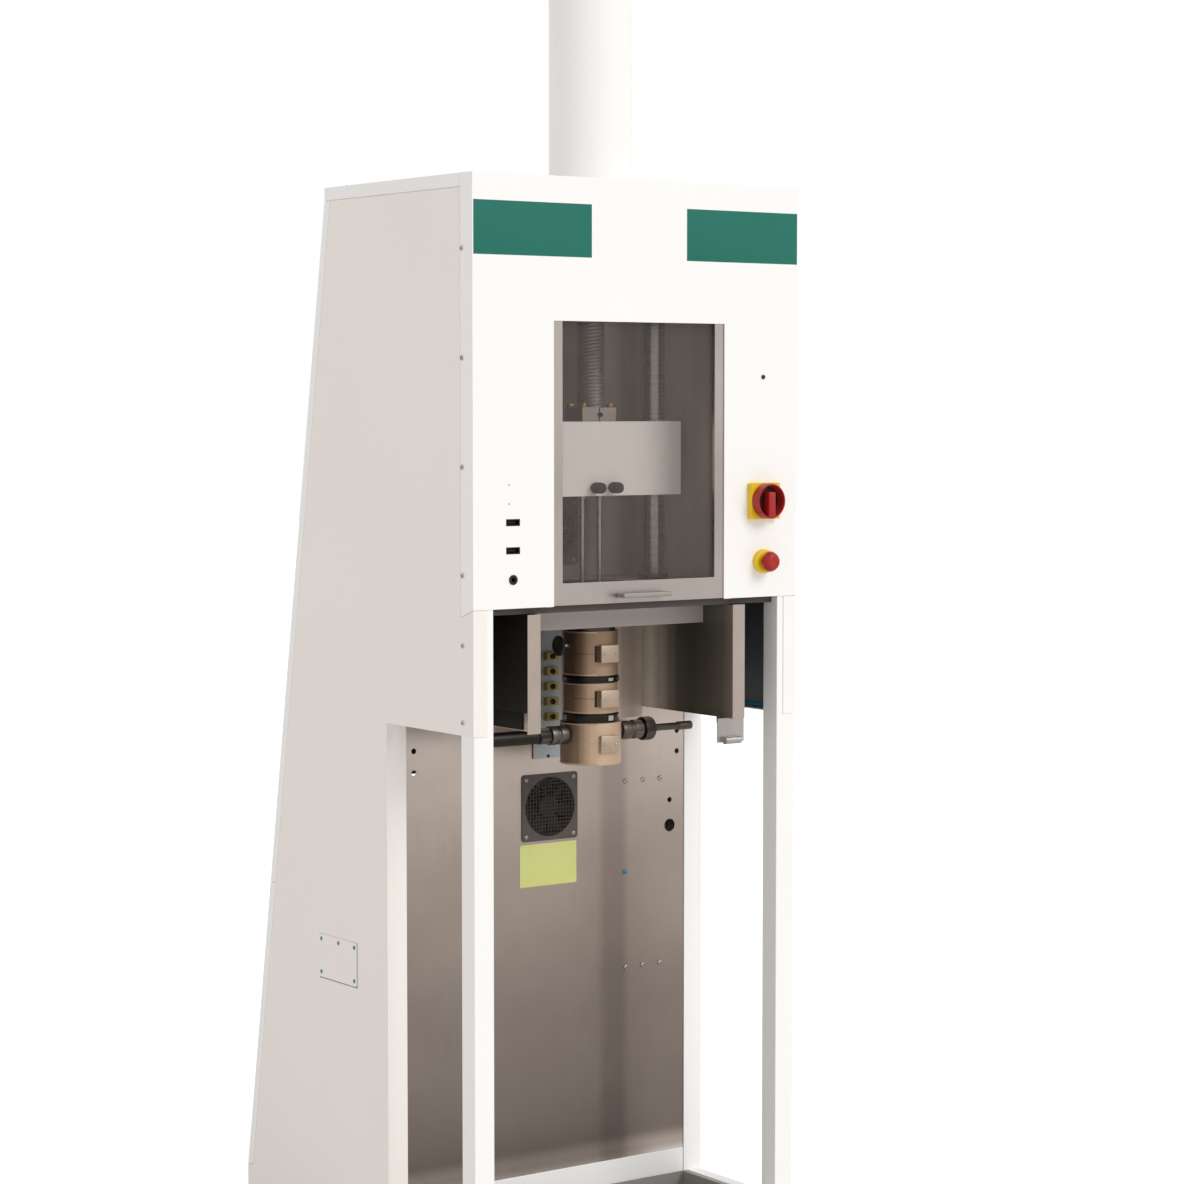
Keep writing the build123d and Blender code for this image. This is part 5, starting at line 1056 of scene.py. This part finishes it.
transducer = {"z": 978.5, "bodyRibs": {"radius": 16.5, "count": 20, "length": 16.0, "rib": 1.0},
              "knurl": {"radius": 20.6, "count": 56, "length": 18.0, "rib": 0.75},
              "neckRibs": {"radius": 13.6, "count": 40, "length": 20.0, "rib": 0.6}}
place = (0, axisY, transducer["z"])
right = [
    turned("rightHex", [(35.5, 0), (35.5, 8.9), (64.0, 8.9), (64.0, 16.0), (70.0, 16.9), (82.0, 16.9),
                        (84.0, 14.6), (88.0, 14.6), (90.0, 16.9), (109.0, 16.9), (111.0, 15.0), (111.0, 0)],
           place, "X", burnishedSteel),
    turned("rightFlange", [(111.0, 0), (111.0, 20.6), (133.0, 20.6), (133.0, 0)],
           place, "X", blackOxide, 1.2),
    turned("rightRod", [(132.5, 0), (132.5, 8.5), (139.0, 6.4), (195.0, 6.4), (195.0, 7.8), (224.9, 7.8),
                        (224.9, 0)], place, "X", burnishedSteel, 0.8, 48),
    ribs("rightKnurl", "X", (122.0, axisY, transducer["z"]), burnishedSteel, **transducer["knurl"]),
    ribs("rightBodyRibs", "X", (99.5, axisY, transducer["z"]), turnedSteelX, **transducer["bodyRibs"]),
]
fit(joined("rightMeltTransducer", right), "cabinet", "dark_steel", "right_transducer")
left = [
    turned("leftHex", [(-35.5, 0), (-35.5, 8.9), (-57.0, 8.9), (-57.0, 16.9), (-72.0, 16.9), (-74.0, 14.0),
                       (-77.0, 14.0), (-79.0, 16.9), (-92.0, 16.9), (-92.0, 0)], place, "X", turnedSteelX),
    turned("leftNeck", [(-91.5, 0), (-91.5, 13.9), (-117.0, 13.9), (-117.0, 0)], place, "X", blackOxide, 1.2),
    turned("leftHousing", [(-116.5, 0), (-116.5, 12.0), (-119.0, 12.9), (-246.0, 12.9), (-249.9, 10.5),
                           (-249.9, 0)], place, "X", blackOxide, 1.2),
    ribs("leftNeckRibs", "X", (-104.0, axisY, transducer["z"]), turnedSteelX, **transducer["neckRibs"]),
]
fit(joined("leftMeltTransducer", left), "cabinet", "dark_steel", "left_transducer")
print("transducers turned")

# thermocouple socket inserts

socketInsert = {"x": -1.0, "y": limits("thermocouple_sockets")[0][1] + 0.1, "first": 1108.0, "pitch": 27.7,
                "count": 5}
inserts = [turned("insert", [(0, 0), (0, 5.2), (-2.2, 5.2), (-3.0, 4.2), (-3.0, 2.2), (-1.0, 2.0), (-1.0, 0)],
                  (socketInsert["x"], socketInsert["y"], socketInsert["first"] - i * socketInsert["pitch"]),
                  "Y", blackPlastic, 0.5, 28)
           for i in range(socketInsert["count"])]
fit(joined("socketInserts", inserts), "cabinet", "black_plastic")

# collars at the feet of the columns

columnFoot = {"xs": (-140.0, 140.0), "z": 1251.3, "profile": [(0, 20.4), (0, 27.0), (9.0, 27.0), (9.0, 20.4)]}
feet = [turned("columnFoot", columnFoot["profile"], (x, axisY, columnFoot["z"]), "Z", blackOxide, 1.0, 56,
               loop=True)
        for x in columnFoot["xs"]]
fit(joined("columnFootCollars", feet), "cabinet", "dark_steel")
print("small fittings made")

# floor, lamps, camera

floorMesh = bpy.data.meshes.new("studioFloor")
floorMesh.from_pydata([(-30, -30, 0), (30, -30, 0), (30, 30, 0), (-30, 30, 0)], [], [(0, 1, 2, 3)])
floor = newPiece("studioFloor", floorMesh)
floorMaterial = bpy.data.materials.new("paleStudioFloor")
floorMaterial.use_nodes = True
tree = floorMaterial.node_tree
tree.nodes.clear()
rays = addNode(tree, "ShaderNodeLightPath")
matte = addNode(tree, "ShaderNodeBsdfDiffuse", {"Color": hexToLinear("F4F3F2")})
lift = addNode(tree, "ShaderNodeMath", {0: rays.outputs["Is Camera Ray"], 1: 0.42}, operation="MULTIPLY")
glow = addNode(tree, "ShaderNodeEmission", {"Color": (1, 1, 1, 1), "Strength": lift})
both = addNode(tree, "ShaderNodeAddShader", {0: matte, 1: glow})
addNode(tree, "ShaderNodeOutputMaterial", {"Surface": both})
floorMesh.materials.append(floorMaterial)

light = {"ambient": 0.69, "ambientTint": "FFFDFB", "keyPower": 1.25, "keyAngle": 30.0,
         "keyFrom": (0.3, -0.8, 0.6)}
world = bpy.data.worlds.new("studioWorld")
scene.world = world
world.use_nodes = True
tree = world.node_tree
tree.nodes.clear()
rays = addNode(tree, "ShaderNodeLightPath")
seen = addNode(tree, "ShaderNodeMath",
               {0: rays.outputs["Is Camera Ray"], 1: rays.outputs["Is Glossy Ray"]}, operation="MAXIMUM")
shown = addNode(tree, "ShaderNodeMath",
                {0: seen, 1: rays.outputs["Is Transmission Ray"]}, operation="MAXIMUM")
soft = addNode(tree, "ShaderNodeBackground",
               {"Color": hexToLinear(light["ambientTint"]), "Strength": light["ambient"]})
plain = addNode(tree, "ShaderNodeBackground", {"Color": (1, 1, 1, 1), "Strength": 1.0})
choose = addNode(tree, "ShaderNodeMixShader", {0: shown, 1: soft, 2: plain})
addNode(tree, "ShaderNodeOutputWorld", {"Surface": choose})

keyLight = bpy.data.lights.new("keySun", "SUN")
keyLight.energy = light["keyPower"]
keyLight.angle = radians(light["keyAngle"])
key = bpy.data.objects.new("keySun", keyLight)
key.rotation_euler = Vector(light["keyFrom"]).to_track_quat("Z", "Y").to_euler()
scene.collection.objects.link(key)

view = {"location": (-3.083, frontY / 1000 - 4.195, 1.572), "tilt": 90 - 3.654, "turn": -35.526,
        "lens": 89.376}
cameraData = bpy.data.cameras.new("photoCamera")
cameraData.lens = view["lens"]
cameraData.sensor_width = 36.0
camera = bpy.data.objects.new("photoCamera", cameraData)
camera.location = view["location"]
camera.rotation_euler = (radians(view["tilt"]), 0, radians(view["turn"]))
scene.collection.objects.link(camera)
scene.camera = camera
scene.view_settings.view_transform = "Standard"

print("scene ready")
